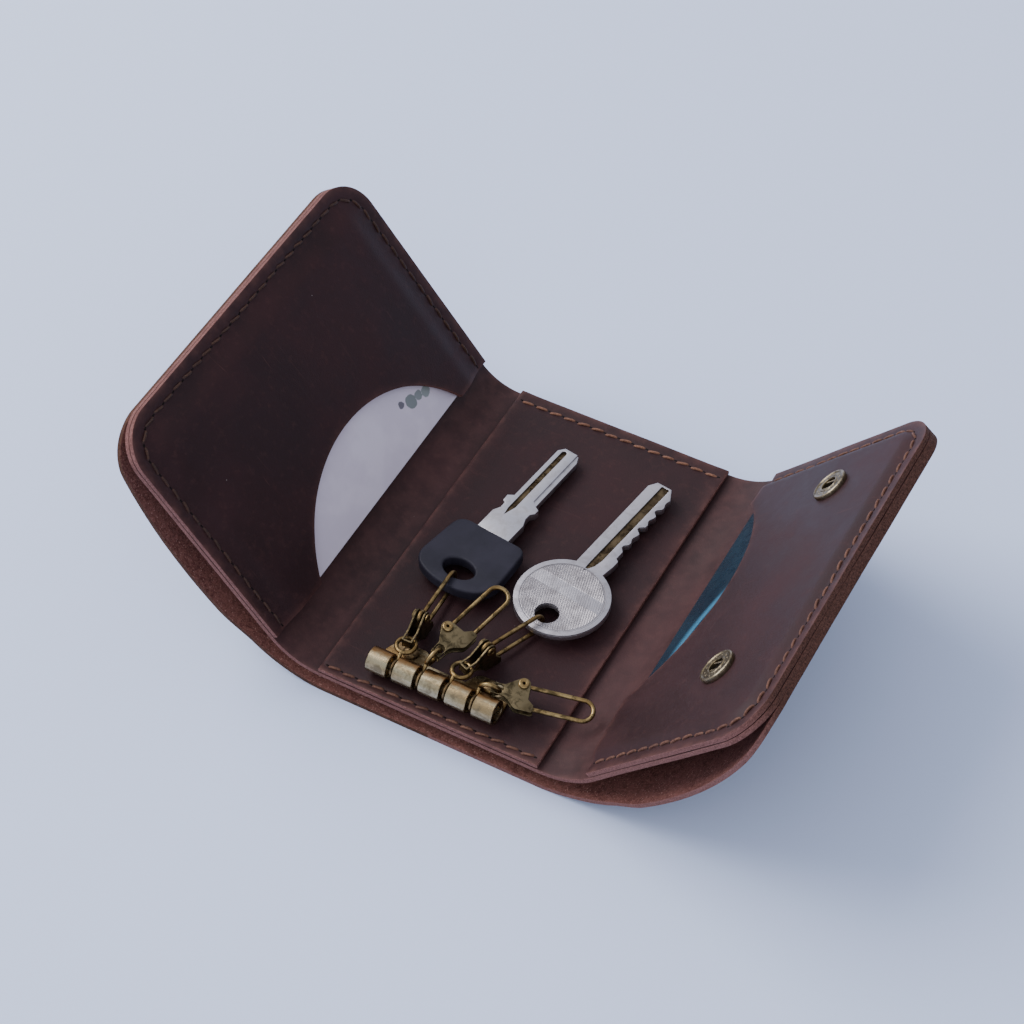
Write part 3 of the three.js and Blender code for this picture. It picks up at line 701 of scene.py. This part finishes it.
def stitches(name, body, path, surface, place, looks, flip=1, replaced=(), matrix=None, sink=0.0):
    """A row of saddle stitches: each thread dips into its hole at both ends and slants a little.
    flip is -1 on an outer side, and sink presses the threads into the leather."""
    shell = bmesh.new()
    holes = walk(path, PITCH)
    for (u0, v0), (u1, v1) in zip(holes, holes[1:]):
        du, dv = u1 - u0, v1 - v0
        length = math.hypot(du, dv)
        across = (-dv / length, du / length)
        slant = random.uniform(0.12, 0.5)
        lift = random.uniform(0.02, 0.16)
        aside = random.uniform(-0.12, 0.12)
        points = []
        for k in range(7):
            t = (1 - SPAN) / 2 + SPAN * k / 6
            off = slant * (2 * t - 1) + aside
            u, v = u0 + du * t + across[0] * off, v0 + dv * t + across[1] * off
            height = lift + 0.08 - sink - DIP * (abs(2 * (t - 0.5)) / SPAN) ** 4
            points.append(Vector(place(u, v, surface(u, v) + flip * height)) * MM)
        tube_into(shell, points, THREAD * MM, 8)
    # A near-black plug in each hole: painted shade.
    for u, v in holes:
        low = Vector(place(u, v, surface(u, v) - flip * 0.5)) * MM
        high = Vector(place(u, v, surface(u, v) + flip * 0.035)) * MM
        tube_into(shell, [low, high], HOLE * MM, 10, 1)
    mesh = write_mesh(shell, bpy.data.meshes.new(name), recalc=False)
    return new_object(name, mesh, body, looks, matrix=matrix, replaced=replaced)


def pocket_path(flap, near=True):
    """The seam round a flap, which leaves out the near side if the note pocket opens there."""
    r = CORNER - STITCH_INSET
    reach, top = flap.width - STITCH_INSET, HALF - STITCH_INSET
    arc = [(reach - r + r * math.sin(k / 8 * math.pi / 2), r * math.cos(k / 8 * math.pi / 2)) for k in range(9)]
    lower = [(u, -top + r - w) for u, w in arc]
    upper = [(u, top - r + w) for u, w in reversed(arc)]
    first = [(1.2, -top)] if near else []
    return first + (lower if near else lower[4:]) + upper + [(1.2, top)]


def panel_path(at):
    return [(1.4 - HALF_PANEL, at), (HALF_PANEL - 1.4, at)]


def flap_stitches(flap, looks):
    def place(u, v, n):
        return flap.side * u, v, n

    stitches(f"{flap.name}_pocket_stitches", f"{flap.name}_flap", pocket_path(flap),
             lambda u, v: pocket_top(flap, u, v), place, looks,
             replaced=[f"{flap.name}_seam"], matrix=flap.matrix())
    stitches(f"{flap.name}_cover_stitches", f"{flap.name}_flap", pocket_path(flap, near=False),
             lambda u, v: cover_bottom(flap, flap.arc + u, v), place, DARK_THREAD,
             flip=-1, matrix=flap.matrix(), sink=COVER_SINK)


flap_stitches(LEFT, DARK_THREAD)
flap_stitches(RIGHT, BROWN_THREAD)
for name, at, looks in zip(("near", "far"), PANEL_SEAMS, (BROWN_THREAD, PALE_THREAD)):
    stitches(f"panel_{name}_stitches", "centre", panel_path(at), panel_top, panel_place, looks,
             replaced=[f"panel_seam_{name}"])
stitches("panel_cover_stitches", "centre", panel_path(PANEL_SEAMS[1]), lambda x, v: cover_bottom(LEFT, 0, v),
         panel_place, DARK_THREAD, flip=-1, sink=COVER_SINK)


# ---- plates, lathes and wires

def outline(start, *steps):
    """A closed outline of points. Each step is (x, y), (cx, cy, x, y) for a curve, or a list of points."""
    points = [start]
    for step in steps:
        if isinstance(step, list):
            points += step
        elif len(step) == 2:
            points.append(step)
        else:
            cx, cy, x, y = step
            x0, y0 = points[-1]
            for k in range(1, 9):
                t = k / 8
                a, b, c = (1 - t) ** 2, 2 * t * (1 - t), t * t
                points.append((a * x0 + b * cx + c * x, a * y0 + b * cy + c * y))
    return points


def arc_points(cx, cy, rx, ry, start, end, count):
    turns = [math.radians(start + (end - start) * k / count) for k in range(count + 1)]
    return [(cx + rx * math.cos(a), cy + ry * math.sin(a)) for a in turns]


def plate(name, loops, low, high, bevel=0.12, steps=2):
    """A mesh plate with holes and rounded edges between two heights, in millimetres."""
    curve = bpy.data.curves.new(name, "CURVE")
    curve.dimensions = "2D"
    curve.fill_mode = "BOTH"
    curve.extrude = ((high - low) / 2 - bevel) * MM
    curve.bevel_depth = bevel * MM
    curve.bevel_resolution = steps
    curve.offset = -bevel * MM
    for loop in loops:
        spline = curve.splines.new("POLY")
        spline.points.add(len(loop) - 1)
        for p, (x, y) in zip(spline.points, loop):
            p.co = (x * MM, y * MM, 0, 1)
        spline.use_cyclic_u = True
    holder = linked(name, curve)
    mesh = evaluated_mesh(holder)
    bpy.data.objects.remove(holder)
    bpy.data.curves.remove(curve)
    mesh.transform(shift(0, 0, (low + high) / 2))
    shell = bmesh.new()
    shell.from_mesh(mesh)
    write_mesh(shell, mesh, 1e-6)
    mesh.materials.clear()
    shade(mesh, 30)
    return mesh


def lathe_mesh(name, profile, sides, axis="z"):
    """A turned shape. profile is a closed ring of (radius, height)."""
    shell = bmesh.new()
    rings = []
    for k in range(sides):
        turn = 2 * math.pi * k / sides
        c, s = math.cos(turn), math.sin(turn)
        ring = []
        for r, h in profile:
            p = (h, r * c, r * s) if axis == "x" else (r * c, r * s, h)
            ring.append(shell.verts.new(Vector(p) * MM))
        rings.append(ring)
    count = len(profile)
    for k in range(sides):
        a, b = rings[k], rings[(k + 1) % sides]
        for i in range(count):
            j = (i + 1) % count
            shell.faces.new((a[i], a[j], b[j], b[i]))
    bmesh.ops.remove_doubles(shell, verts=shell.verts, dist=1e-7)
    bmesh.ops.dissolve_degenerate(shell, edges=shell.edges, dist=1e-8)
    mesh = write_mesh(shell, bpy.data.meshes.new(name))
    shade(mesh, 32)
    return mesh


def joined(name, meshes):
    shell = bmesh.new()
    for mesh in meshes:
        shell.from_mesh(mesh)
    made = write_mesh(shell, bpy.data.meshes.new(name), recalc=False)
    shade(made, 32)
    return made


def wire_mesh(name, runs, radius, sides=14):
    """Round wires through lists of points in millimetres."""
    shell = bmesh.new()
    for points in runs:
        tube_into(shell, [Vector(p) * MM for p in points], radius * MM, sides)
    return write_mesh(shell, bpy.data.meshes.new(name))


# ---- hook bar

# where the bar starts and its length, the slots between its tubes, and the tubes' axis
BAR_X, BAR_LENGTH, SLOT, BAR_Y, BAR_Z = -18.2, 33.8, 1.7, -43.7, FACE + 3.75
BAR_RADIUS, BAR_BORE, BASE, BASE_DEPTH, BASE_GAP = 3.1, 2.45, 0.8, 9.5, 0.12
KNUCKLE = (BAR_LENGTH - 4 * SLOT) / 5


def slot_x(i):
    return BAR_X + KNUCKLE * (i + 1) + SLOT * (i + 0.5)


def knuckle(i):
    """One rolled tube of the bar, with softened ends."""
    low = BAR_X + i * (KNUCKLE + SLOT)
    high = low + KNUCKLE
    b = 0.14
    ring = [(BAR_BORE, low + b), (BAR_BORE + b, low), (BAR_RADIUS - b, low), (BAR_RADIUS, low + b),
            (BAR_RADIUS, high - b), (BAR_RADIUS - b, high), (BAR_BORE + b, high), (BAR_BORE, high - b)]
    mesh = lathe_mesh("knuckle", ring, 56, "x")
    mesh.transform(shift(0, BAR_Y, BAR_Z))
    return mesh


back, front, end_x = BAR_Y + BASE_DEPTH, BAR_Y - 0.8, BAR_X + BAR_LENGTH
flange = outline(
    (BAR_X, front), (end_x, front), (end_x, BAR_Y + 2), (end_x, back - 1.5, end_x - 3.5, back), (end_x - 9, back),
    (end_x - 10.5, back, end_x - 12, back - 3.5), (BAR_X + 12, back - 3.5), (BAR_X + 10.5, back, BAR_X + 9, back),
    (BAR_X + 3.5, back), (BAR_X, back - 1.5, BAR_X, BAR_Y + 2))
rivet_xs, rivet_y = (BAR_X + 6.3, end_x - 6.3), back - 2.2
rivet_holes = [arc_points(x, rivet_y, 1.2, 1.2, 0, 350, 24) for x in rivet_xs]
base = plate("base", [flange, *rivet_holes], FACE + BASE_GAP, FACE + BASE_GAP + BASE, steps=3)
bar = joined("hook_bar", [knuckle(i) for i in range(5)] + [base])
new_object("hook_bar_brass", bar, "centre", [bar_brass], replaced=["key_bar"])
rod_profile = [(0, BAR_X + 0.8), (0.7, BAR_X + 0.8), (0.9, BAR_X + 1), (0.9, end_x - 1), (0.7, end_x - 0.8),
               (0, end_x - 0.8)]
rod = lathe_mesh("rod", rod_profile, 24, "x")
rod.transform(shift(0, BAR_Y, BAR_Z))
new_object("bar_rod_brass", rod, "centre", [dark_metal], replaced=["bar_rod"])
rivet_ring = [(0, 0), (0.85, 0), (0.85, 1.1), (1.95, 1.1), (2.0, 1.3), (1.75, 1.65), (1.3, 1.9), (0.7, 2.05),
              (0, 2.1)]
for n, x in enumerate(rivet_xs, 1):
    new_object(f"bar_rivet_head_{n}", lathe_mesh("rivet", rivet_ring, 32), "centre", [dark_metal],
               matrix=shift(x, rivet_y, FACE), replaced=[f"bar_rivet_{n}"])

# ---- hooks

WIRE = 0.55  # radius
LOOP, STEM, RING = 1.7, 4.05, 2.3  # the eye's loop round the rod, its stem's end and its ring
PLATE, GAP_HALF, RIVET_X, RIVET_Y = 0.5, 0.9, 9.8, 2.6  # the clip's plates, half their gap and their rivet
BAIL_REACH, BAIL_HALF = 17, 2.6
# lean of the stem, heading of the clip from +X, climb and roll of its plates, in degrees
HOOKS = ((30, 92, -3.5, 90), (40, 76, 4, 14), (30, 68.5, -4.2, 90), (34, 16, -6.5, 12))


def about_rod(i, r, turn):
    return slot_x(i), BAR_Y + r * math.cos(turn), BAR_Z + r * math.sin(turn)


def hook_frame(i):
    """The frame of a hook's clip, from where its ring meets the stem, with +x towards the bail's end."""
    lean, heading, climb, roll = HOOKS[i]
    return shift(*about_rod(i, STEM, math.radians(lean))) @ turned(("Z", heading), ("Y", -climb), ("X", roll))


clip_outline = outline(
    (2.6, -1.25), (5.4, -1.45), (6.6, -1.6, 8.4, -3.6), (8.8, -3.9, 9.4, -3.9), (12.6, -3.95),
    (13.2, -3.9, 13.2, -3.3), (13.1, -2.1), (12.4, -1.6, 11.6, -0.9), (11.45, 2.4),
    arc_points(RIVET_X, RIVET_Y, 1.55, 1.55, 0, 125, 10), (5.6, 1.5), (2.6, 1.25))
ring_hole = arc_points(4.4, 0, 1.15, 1.15, 0, 345, 23)
rivet_hole = arc_points(RIVET_X, RIVET_Y, 0.85, 0.85, 0, 345, 23)


def clip_mesh():
    outer = GAP_HALF + PLATE
    plates = [plate("clip", [clip_outline, ring_hole, rivet_hole], low, low + PLATE, 0.09)
              for low in (GAP_HALF, -outer)]
    web = plate("web", [[(-outer, -1.2), (outer, -1.2), (outer, 1.2), (-outer, 1.2)]], 0, 0.5)
    web.transform(shift(2.6, 0, 0) @ turned(("Y", 90)))
    end = outer - 0.1
    boss = lathe_mesh("boss", [(0.45, -end), (0.8, -end), (0.8, end), (0.45, end)], 20)
    boss.transform(shift(10.6, -2.7, 0))
    return joined("clip", [*plates, web, boss])


def rivet_mesh():
    face = GAP_HALF + PLATE + 0.15
    half = [(0.35, -face - 0.3), (0.5, -face - 0.42), (1.0, -face - 0.42), (1.25, -face - 0.25), (1.2, -face),
            (0.62, -face)]
    mirrored = [(r, -h) for r, h in reversed(half)]
    return lathe_mesh("clip_rivet", half + mirrored, 28)


def bail_mesh():
    turn_at = BAIL_REACH - BAIL_HALF
    run = [(1.0, 0.05, 0), (1.6, 0, 0)] + [(x, 0, 0) for x in spread(3, turn_at - 0.6, 2)]
    run += [(x, y, 0) for x, y in arc_points(turn_at, -BAIL_HALF, BAIL_HALF, BAIL_HALF, 90, -90, 20)]
    run += [(x, -2 * BAIL_HALF, 0) for x in reversed(spread(2.6, turn_at - 0.6, 2))]
    run.append((2.2, -2 * BAIL_HALF, 0))
    eyelet = [(x, y, 0) for x, y in arc_points(0, 0, 1.15, 1.15, 0, 360, 28)]
    return wire_mesh("bail", [run, eyelet], WIRE)


def build_hook(i):
    """A hook: its eye on the rod, its clip of two plates with a rivet, and its wire bail."""
    n = i + 1
    spot = hook_frame(i)
    lean = math.radians(HOOKS[i][0])
    loop = [about_rod(i, LOOP, lean + k / 30 * 2 * math.pi) for k in range(31)]
    ring = [spot @ (Vector((RING - RING * math.cos(a), 0, RING * math.sin(a))) * MM) / MM
            for a in (k / 36 * 2 * math.pi for k in range(37))]
    stem = [about_rod(i, r, lean) for r in (LOOP - 0.1, (LOOP + STEM) / 2, STEM + 0.15)]
    eye = joined("eye", [wire_mesh("stem", [stem], WIRE * 0.88), wire_mesh("ring", [ring], WIRE)])
    new_object(f"hook_eye_wire_{n}", eye, f"eye_{n}", [brass], replaced=[f"hook_eye_{n}"])
    # The eye's loop round the rod takes the dark brass: painted shade inside the bar's slot.
    new_object(f"hook_loop_wire_{n}", wire_mesh("loop", [loop], WIRE * 0.85), f"eye_{n}",
               [dark_metal])
    at_rivet = spot @ shift(RIVET_X, RIVET_Y, 0)
    for part, kind, mesh, body, look, matrix in (("clip", "plates", clip_mesh(), "clip", clip_brass, spot),
                                                 ("rivet", "tube", rivet_mesh(), "clip", brass, at_rivet),
                                                 ("bail", "wire", bail_mesh(), "bail", brass, at_rivet)):
        new_object(f"hook_{part}_{kind}_{n}", mesh, f"{body}_{n}", [look], matrix=matrix,
                   replaced=[f"hook_{part}_{n}"])


for i in range(4):
    build_hook(i)

# ---- keys

def key_frame(i, heading, droop):
    """The frame of a key on hook i, from the bail's end, with +y along the blade."""
    tip = hook_frame(i) @ (Vector((RIVET_X + BAIL_REACH - 0.1, 0, 0)) * MM)
    return Matrix.Translation(tip) @ turned(("Z", heading), ("X", droop))


def key_metal(name, base, dark, roughness, hatch=None):
    """Nickel or steel with fine scratches and dirt in its hollows.
    hatch gives the centre and radius of a bow with a finely hatched ground and a dark line round it."""
    k = Look(name, metallic=1.0)
    stain = k.noise(320, 5, 0.6, 0.5)
    scratch = k.noise(1, 4, 0.6, 0.3, k.stretched((2600, 260, 800)))
    color = k.mix(k.span(stain, 0.42, 0.68, 0, 0.32), base, dark)
    hollow = k.span(k.pointiness(), 0.43, 0.495, 0.85, 0)
    color = k.mix(hollow, color, dark)
    rough = k.span(stain, 0.3, 0.7, *roughness)
    normal = k.bump(scratch, 0.00003, 0.5)
    if hatch:
        wave = {"Vector": k.coords, "Scale": 1150.0, "Distortion": 0.5, "Detail": 1.0}
        lines = k.node("ShaderNodeTexWave", wave, bands_direction="DIAGONAL").outputs["Fac"]
        middle_y, radius = hatch
        away = k.away_from(0, middle_y, 0)
        inside = k.span(away, (radius - 0.3) * MM, radius * MM, 1, 0)
        strip = k.math("ABSOLUTE", k.math("SUBTRACT", k.axis("Y"), (middle_y + 2.4) * MM))
        ground = k.times(inside, k.span(strip, 1.7 * MM, 1.9 * MM, 0.25, 1))
        height = k.times(lines, ground)
        color = k.mix(k.math("MULTIPLY", k.math("SUBTRACT", ground, height), 0.62, True), color, dark)
        from_line = k.math("ABSOLUTE", k.math("SUBTRACT", away, (radius + 0.1) * MM))
        color = k.mix(k.span(from_line, 0.06 * MM, 0.2 * MM, 0.6, 0), color, dark)
        normal = k.bump(height, 0.00012, 0.8, normal)
    return k.finish(color, rough, normal)


nickel = key_metal("nickel_blade", (0.57, 0.54, 0.56), (0.19, 0.155, 0.13), (0.28, 0.46))
steel = key_metal("key_steel", (0.51, 0.475, 0.495), (0.105, 0.088, 0.088), (0.36, 0.54), hatch=(8, 10.2))
groove_metal = antique_metal("key_groove", (0.14, 0.10, 0.055), (0.060, 0.040, 0.022), (0.015, 0.010, 0.007),
                             (0.45, 0.7))

k = Look("black_plastic", specular=0.22)
grain = k.noise(900, 4, 0.6)
wear = k.noise(90, 4, 0.6)
black_plastic = k.finish(k.mix(k.span(wear, 0.35, 0.7), (0.016, 0.0140, 0.0215), (0.026, 0.0230, 0.035)),
                         k.span(wear, 0.3, 0.7, 0.46, 0.6), k.bump(grain, 0.00004, 0.4))

car = key_frame(0, -7, -2.2)
near, far, half = -4.2, 15.4, 11.0
head_outline = outline(
    (-4, near), (3, near - 1.2, 8, near + 1.6), (half + 0.3, near + 4, half, near + 8), (half - 0.6, far - 3),
    (half - 0.8, far, half - 3.6, far), (5 - half, far), (1.6 - half, far, 1 - half, far - 3), (-half, near + 6),
    (-half, near + 1.2, -4, near))
head_hole = arc_points(0.2, 1.4, 4.3, 2.9, 0, 352, 44)
head = plate("car_head", [head_outline, head_hole], -1.65, 1.65, 0.62, 5)
new_object("car_key_head_plastic", head, "car_key", [black_plastic], matrix=car,
           replaced=["car_key_head"])
start = far + 0.05
blade_left = [(-1.8, start + 33.2), (-3.1, start + 31.6), (-3.1, start + 13.2), (-4.6, start + 12.2),
              (-4.4, start + 10.2), (-3.6, start + 9.8), (-3.6, start + 8), (-4.6, start + 6.2)]
blade_right = [(-4.6, start), (4.6, start), (4.6, start + 6.2), (3.8, start + 8.2), (3.8, start + 10),
               (4.7, start + 11), (4.7, start + 12.4), (3.2, start + 13.2)]
blade_low = blade_right + [(3.1, start + 31), (2.2, start + 33)] + blade_left
blade_high = blade_right + [(2.0, start + 14.2), (1.9, start + 33.05)] + blade_left
groove_outline = outline((-1.5, start + 6.6), (-0.5, start + 10),
                         arc_points(-1.2, start + 31.6, 0.7, 0.7, 0, 180, 8), (-1.9, start + 9))


def stepped(name, low_loops, high_loops, low, step, high):
    """A key blade: a full-width layer, and a narrower or grooved one on top of it."""
    return joined(name, [plate(name, low_loops, low, step, 0.1),
                         plate(name, high_loops, step - 0.06, high, 0.1)])


new_object("car_key_blade_nickel", stepped("blade", [blade_low], [blade_high, groove_outline], -1.1, 0.6, 1.1),
           "car_key", [nickel], matrix=car, replaced=["car_key_blade"])
new_object("car_key_groove", plate("groove", [groove_outline], 0.6, 0.66, 0.01, 1), "car_key",
           [groove_metal], matrix=car)
for n in range(5):
    cut = lathe_mesh("cut", [(0, 0.66), (0.3, 0.72), (0.52, 0.9), (0.6, 0.9), (0.6, 0.6), (0, 0.6)], 16)
    spot = car @ shift(-1.25 + 0.25 * (-1) ** n, start + 17.5 + n * 3.0, 0)
    new_object(f"car_key_cut_{n + 1}", cut, "car_key", [groove_metal], matrix=spot)

ring_key = key_frame(2, -8, -1.6)
bow, bow_y, blade_half = 11.75, 8, 3.9
meet = math.degrees(math.asin(blade_half / bow))
root = bow_y + bow
teeth = []
for step, depth in enumerate((1.4, 0.9, 1.7, 1, 1.5, 0.8)):
    y = root + 8.2 + step * 3.5
    teeth += [(blade_half - 0.4, y), (blade_half - depth, y + 1), (blade_half - depth, y + 1.7),
              (blade_half - 0.5, y + 2.7)]
key_outline = arc_points(0, bow_y, bow, bow, 90 + meet, 450 - meet, 90) + [
    (blade_half + 0.5, root + 3), (blade_half + 0.5, root + 5), (blade_half - 0.4, root + 5.6), *teeth,
    (1.6, root + 31.6), (-blade_half + 1.4, root + 31.6), (-blade_half, root + 29.4)]
key_hole = arc_points(0, 1.9, 3, 3, 0, 350, 36)
key_groove = outline((-0.9, root - 2.2), (0.6, root + 0.5), (1.1, root + 3), (1.3, root + 31.1),
                     (-0.9, root + 31.1), (-1.0, root + 1))
rim = [arc_points(0, bow_y, r, r, 0, 355, 90) for r in (bow - 1.15, bow - 1.5)]
layers = [plate("key", [key_outline, key_hole], -0.95, 0.5),
          plate("key", [key_outline, key_hole, key_groove], 0.45, 0.92)]
layers += [plate("rim", rim, low, low + 0.14, 0.05) for low in (0.84, -1.01)]
new_object("round_key_steel", joined("round_key", layers), "round_key", [steel], matrix=ring_key,
           replaced=["round_key"])
new_object("round_key_groove", plate("groove", [key_groove], 0.46, 0.54, 0.01, 1), "round_key",
           [groove_metal], matrix=ring_key)

# ---- cards

CARD_WIDTH, CARD_LENGTH = 54.0, 85.6
CARD_BACK, CARD_FACE = -1.3, -0.5


def card_outline(side):
    w, h, r = CARD_WIDTH, CARD_LENGTH / 2, 3.2
    points = (arc_points(w - r, r - h, r, r, -90, 0, 10) + arc_points(w - r, h - r, r, r, 0, 90, 10)
              + arc_points(r, h - r, r, r, 90, 180, 10) + arc_points(r, r - h, r, r, 180, 270, 10))
    return [(side * x, y) for x, y in points][::side]


k = Look("white_card", 0.4, specular=0.45)
color = k.mix(k.span(k.noise(90, 3), 0.4, 0.6), (0.70, 0.61, 0.71), (0.76, 0.67, 0.77))
# plain dark leaves stand in for the print on the card
for x, y, size, tint in ((-9.4, 23.4, 2.2, (0.12, 0.16, 0.14)), (-9.0, 26.2, 1.6, (0.16, 0.2, 0.18)),
                         (-11.0, 20.2, 1.3, (0.05, 0.045, 0.06)), (-8.0, 29.0, 1.8, (0.2, 0.25, 0.22))):
    away = k.math("ADD", k.away_from(x, y, CARD_FACE), k.times(k.noise(600, 2), 0.9 * MM))
    color = k.mix(k.span(away, size * MM, (size + 0.25) * MM, 0.85, 0), color, tint)
white_card = k.finish(color, None, k.bump(k.noise(700, 3, 0.5), 0.00002, 0.3))

k = Look("blue_card", 0.25, specular=0.5)
away = k.away_from(52, -16, CARD_FACE)
tone = k.mix(k.span(k.noise(60, 3), 0.3, 0.7), (0.004, 0.016, 0.030), (0.008, 0.030, 0.050))
tone = k.mix(k.span(away, 41 * MM, 47.5 * MM), (0.012, 0.022, 0.06), tone)
bright = k.times(k.span(away, 45.4 * MM, 46.3 * MM), k.span(away, 46.4 * MM, 49.0 * MM, 1, 0))
tone = k.mix(bright, tone, (0.06, 0.21, 0.33))
blue_card = k.finish(tone, k.span(k.noise(400, 3), 0.3, 0.7, 0.22, 0.34),
                     k.bump(k.noise(500, 2), 0.00002, 0.25))

for flap, look, slot, x in ((LEFT, white_card, "white_card", -0.6), (RIGHT, blue_card, "blue_card", 0.3)):
    card = plate("card", [card_outline(flap.side)], CARD_BACK, CARD_FACE)
    new_object(f"{flap.name}_card_plastic", card, f"{flap.name}_card", [look],
               matrix=flap.matrix() @ shift(x, 0, 0), replaced=[f"{flap.name}_card"])

# ---- snap fasteners

socket_ring = [(2.0, 0.0), (2.0, 1.05), (2.12, 1.2), (2.4, 1.22), (2.62, 1.05), (3.85, 1.02), (4.1, 1.2),
               (4.4, 1.2), (4.62, 1.02), (4.7, 0.7), (4.62, 0.1), (4.5, -0.3), (2.0, -0.3)]
cap_ring = [(0, 0.2), (5.1, 0.2), (5.2, -0.1), (5.05, -0.5), (4.5, -0.85), (3.6, -1.15), (2.4, -1.38),
            (1.2, -1.48), (0, -1.52)]
stud_ring = [(0, 0.2), (3.1, 0.2), (3.2, -0.1), (3.1, -0.4), (2.2, -0.5), (1.1, -0.46), (0.78, -0.6),
             (0.78, -0.95), (1.0, -1.15), (0.95, -1.35), (0.7, -1.5), (0, -1.52)]


def socket_mesh():
    """A snap socket with a ring of beads and the two wires of its spring."""
    beads = []
    for x, y in arc_points(0, 0, 3.22, 3.22, 0, 330, 11):
        bead = lathe_mesh("bead", [(0, 0.9), (0.3, 0.98), (0.22, 1.12), (0, 1.17)], 10)
        bead.transform(shift(x, y, 0))
        beads.append(bead)
    springs = wire_mesh("springs", [[(-1.95, s, 0.7), (1.95, s, 0.7)] for s in (-1.15, 1.15)], 0.2, 8)
    return joined("socket", [lathe_mesh("socket", socket_ring, 56), springs, *beads])


for n, (u, v) in enumerate(SOCKETS, 1):
    seat = RIGHT.matrix() @ shift(u, v, pocket_top(RIGHT, u, v) + 0.1)
    new_object(f"snap_socket_ring_{n}", socket_mesh(), "right_flap", [snap_brass], matrix=seat,
               replaced=[f"snap_socket_{n}"])
    # A near-black disc in the socket's well: painted shade.
    well = lathe_mesh("well", [(0, -0.2), (1.97, -0.2), (1.97, 0.05), (0, 0.02)], 28)
    new_object(f"snap_socket_well_{n}", well, "right_flap", [painted_hole_shade], matrix=seat)


def on_cover(flap, node, ring, name):
    """A turned snap part that sits on the outside of a flap's cover, where the CAD has it."""
    low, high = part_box(node)
    x, y = (flap.matrix().inverted() @ ((low + high) / 2) / MM).xy

    def under(x, y):
        return cover_bottom(flap, flap.arc + flap.side * x, y)

    normal = Vector((under(x - 1, y) - under(x + 1, y), under(x, y - 1) - under(x, y + 1), 2))
    turn = Vector((0, 0, 1)).rotation_difference(normal).to_matrix().to_4x4()
    new_object(name, lathe_mesh(name, ring, 56), f"{flap.name}_flap", [brass],
               matrix=flap.matrix() @ shift(x, y, under(x, y)) @ turn, replaced=[node])


for n in (1, 2):
    on_cover(RIGHT, f"snap_cap_{n}", cap_ring, f"snap_cap_dome_{n}")
    on_cover(LEFT, f"snap_stud_{n}", stud_ring, f"snap_stud_post_{n}")

# ---- floor, light and camera

floor_mesh = bpy.data.meshes.new("floor")
floor_mesh.from_pydata([(-3, -3, 0), (3, -3, 0), (3, 3, 0), (-3, 3, 0)], [], [(0, 1, 2, 3)])
k = Look("floor_card", 0.7, specular=0.25)
floor_mesh.materials.append(k.finish(k.mix(k.noise(3, 2), (0.66, 0.745, 1.0), (0.68, 0.765, 1.0))))
linked("floor", floor_mesh)

# a soft sky that is brighter on the window's side
world = bpy.data.worlds.new("studio")
bpy.context.scene.world = world
world.use_nodes = True
nodes, links = world.node_tree.nodes, world.node_tree.links
nodes["Background"].inputs["Color"].default_value = (0.80, 0.86, 1.0, 1)
direction = nodes.new("ShaderNodeTexCoord")
split = nodes.new("ShaderNodeSeparateXYZ")
strength = nodes.new("ShaderNodeMapRange")
links.new(direction.outputs["Generated"], split.inputs[0])
links.new(split.outputs["X"], strength.inputs["Value"])
for socket, value in (("From Min", -1), ("From Max", 1), ("To Min", 1.18), ("To Max", 0.56)):
    strength.inputs[socket].default_value = value
links.new(strength.outputs[0], nodes["Background"].inputs["Strength"])

LIGHT_SIZE, LIGHT_TARGET = 1.4, Vector((0, 0, 0.02))
for name, place, power, color in (("window", (-1.12, 0.0, 0.98), 26.5, (1.0, 0.99, 1.0)),
                                  ("fill", (0.5, -0.9, 1.0), 3.5, (0.9, 0.94, 1.0))):
    light = bpy.data.lights.new(name, "AREA")
    light.shape = "DISK"
    light.size = LIGHT_SIZE
    light.energy = power
    light.color = color
    lamp = linked(name, light)
    lamp.location = place
    lamp.rotation_mode = "QUATERNION"
    lamp.rotation_quaternion = (LIGHT_TARGET - Vector(place)).to_track_quat("-Z", "Y")

AIM, DISTANCE = Vector((-0.0121, 0.0131, 0.0088)), 0.6356
AZIMUTH, ELEVATION, ROLL = 30.94, 50.35, -2.5
lens = bpy.data.cameras.new("camera")
lens.lens = 90.5
lens.sensor_width = 36
lens.clip_start = 0.01
camera = linked("camera", lens)
camera.matrix_world = (Matrix.Translation(AIM) @ turned(("Z", AZIMUTH), ("X", 90 - ELEVATION), ("Z", ROLL))
                       @ Matrix.Translation((0, 0, DISTANCE)))
bpy.context.scene.camera = camera
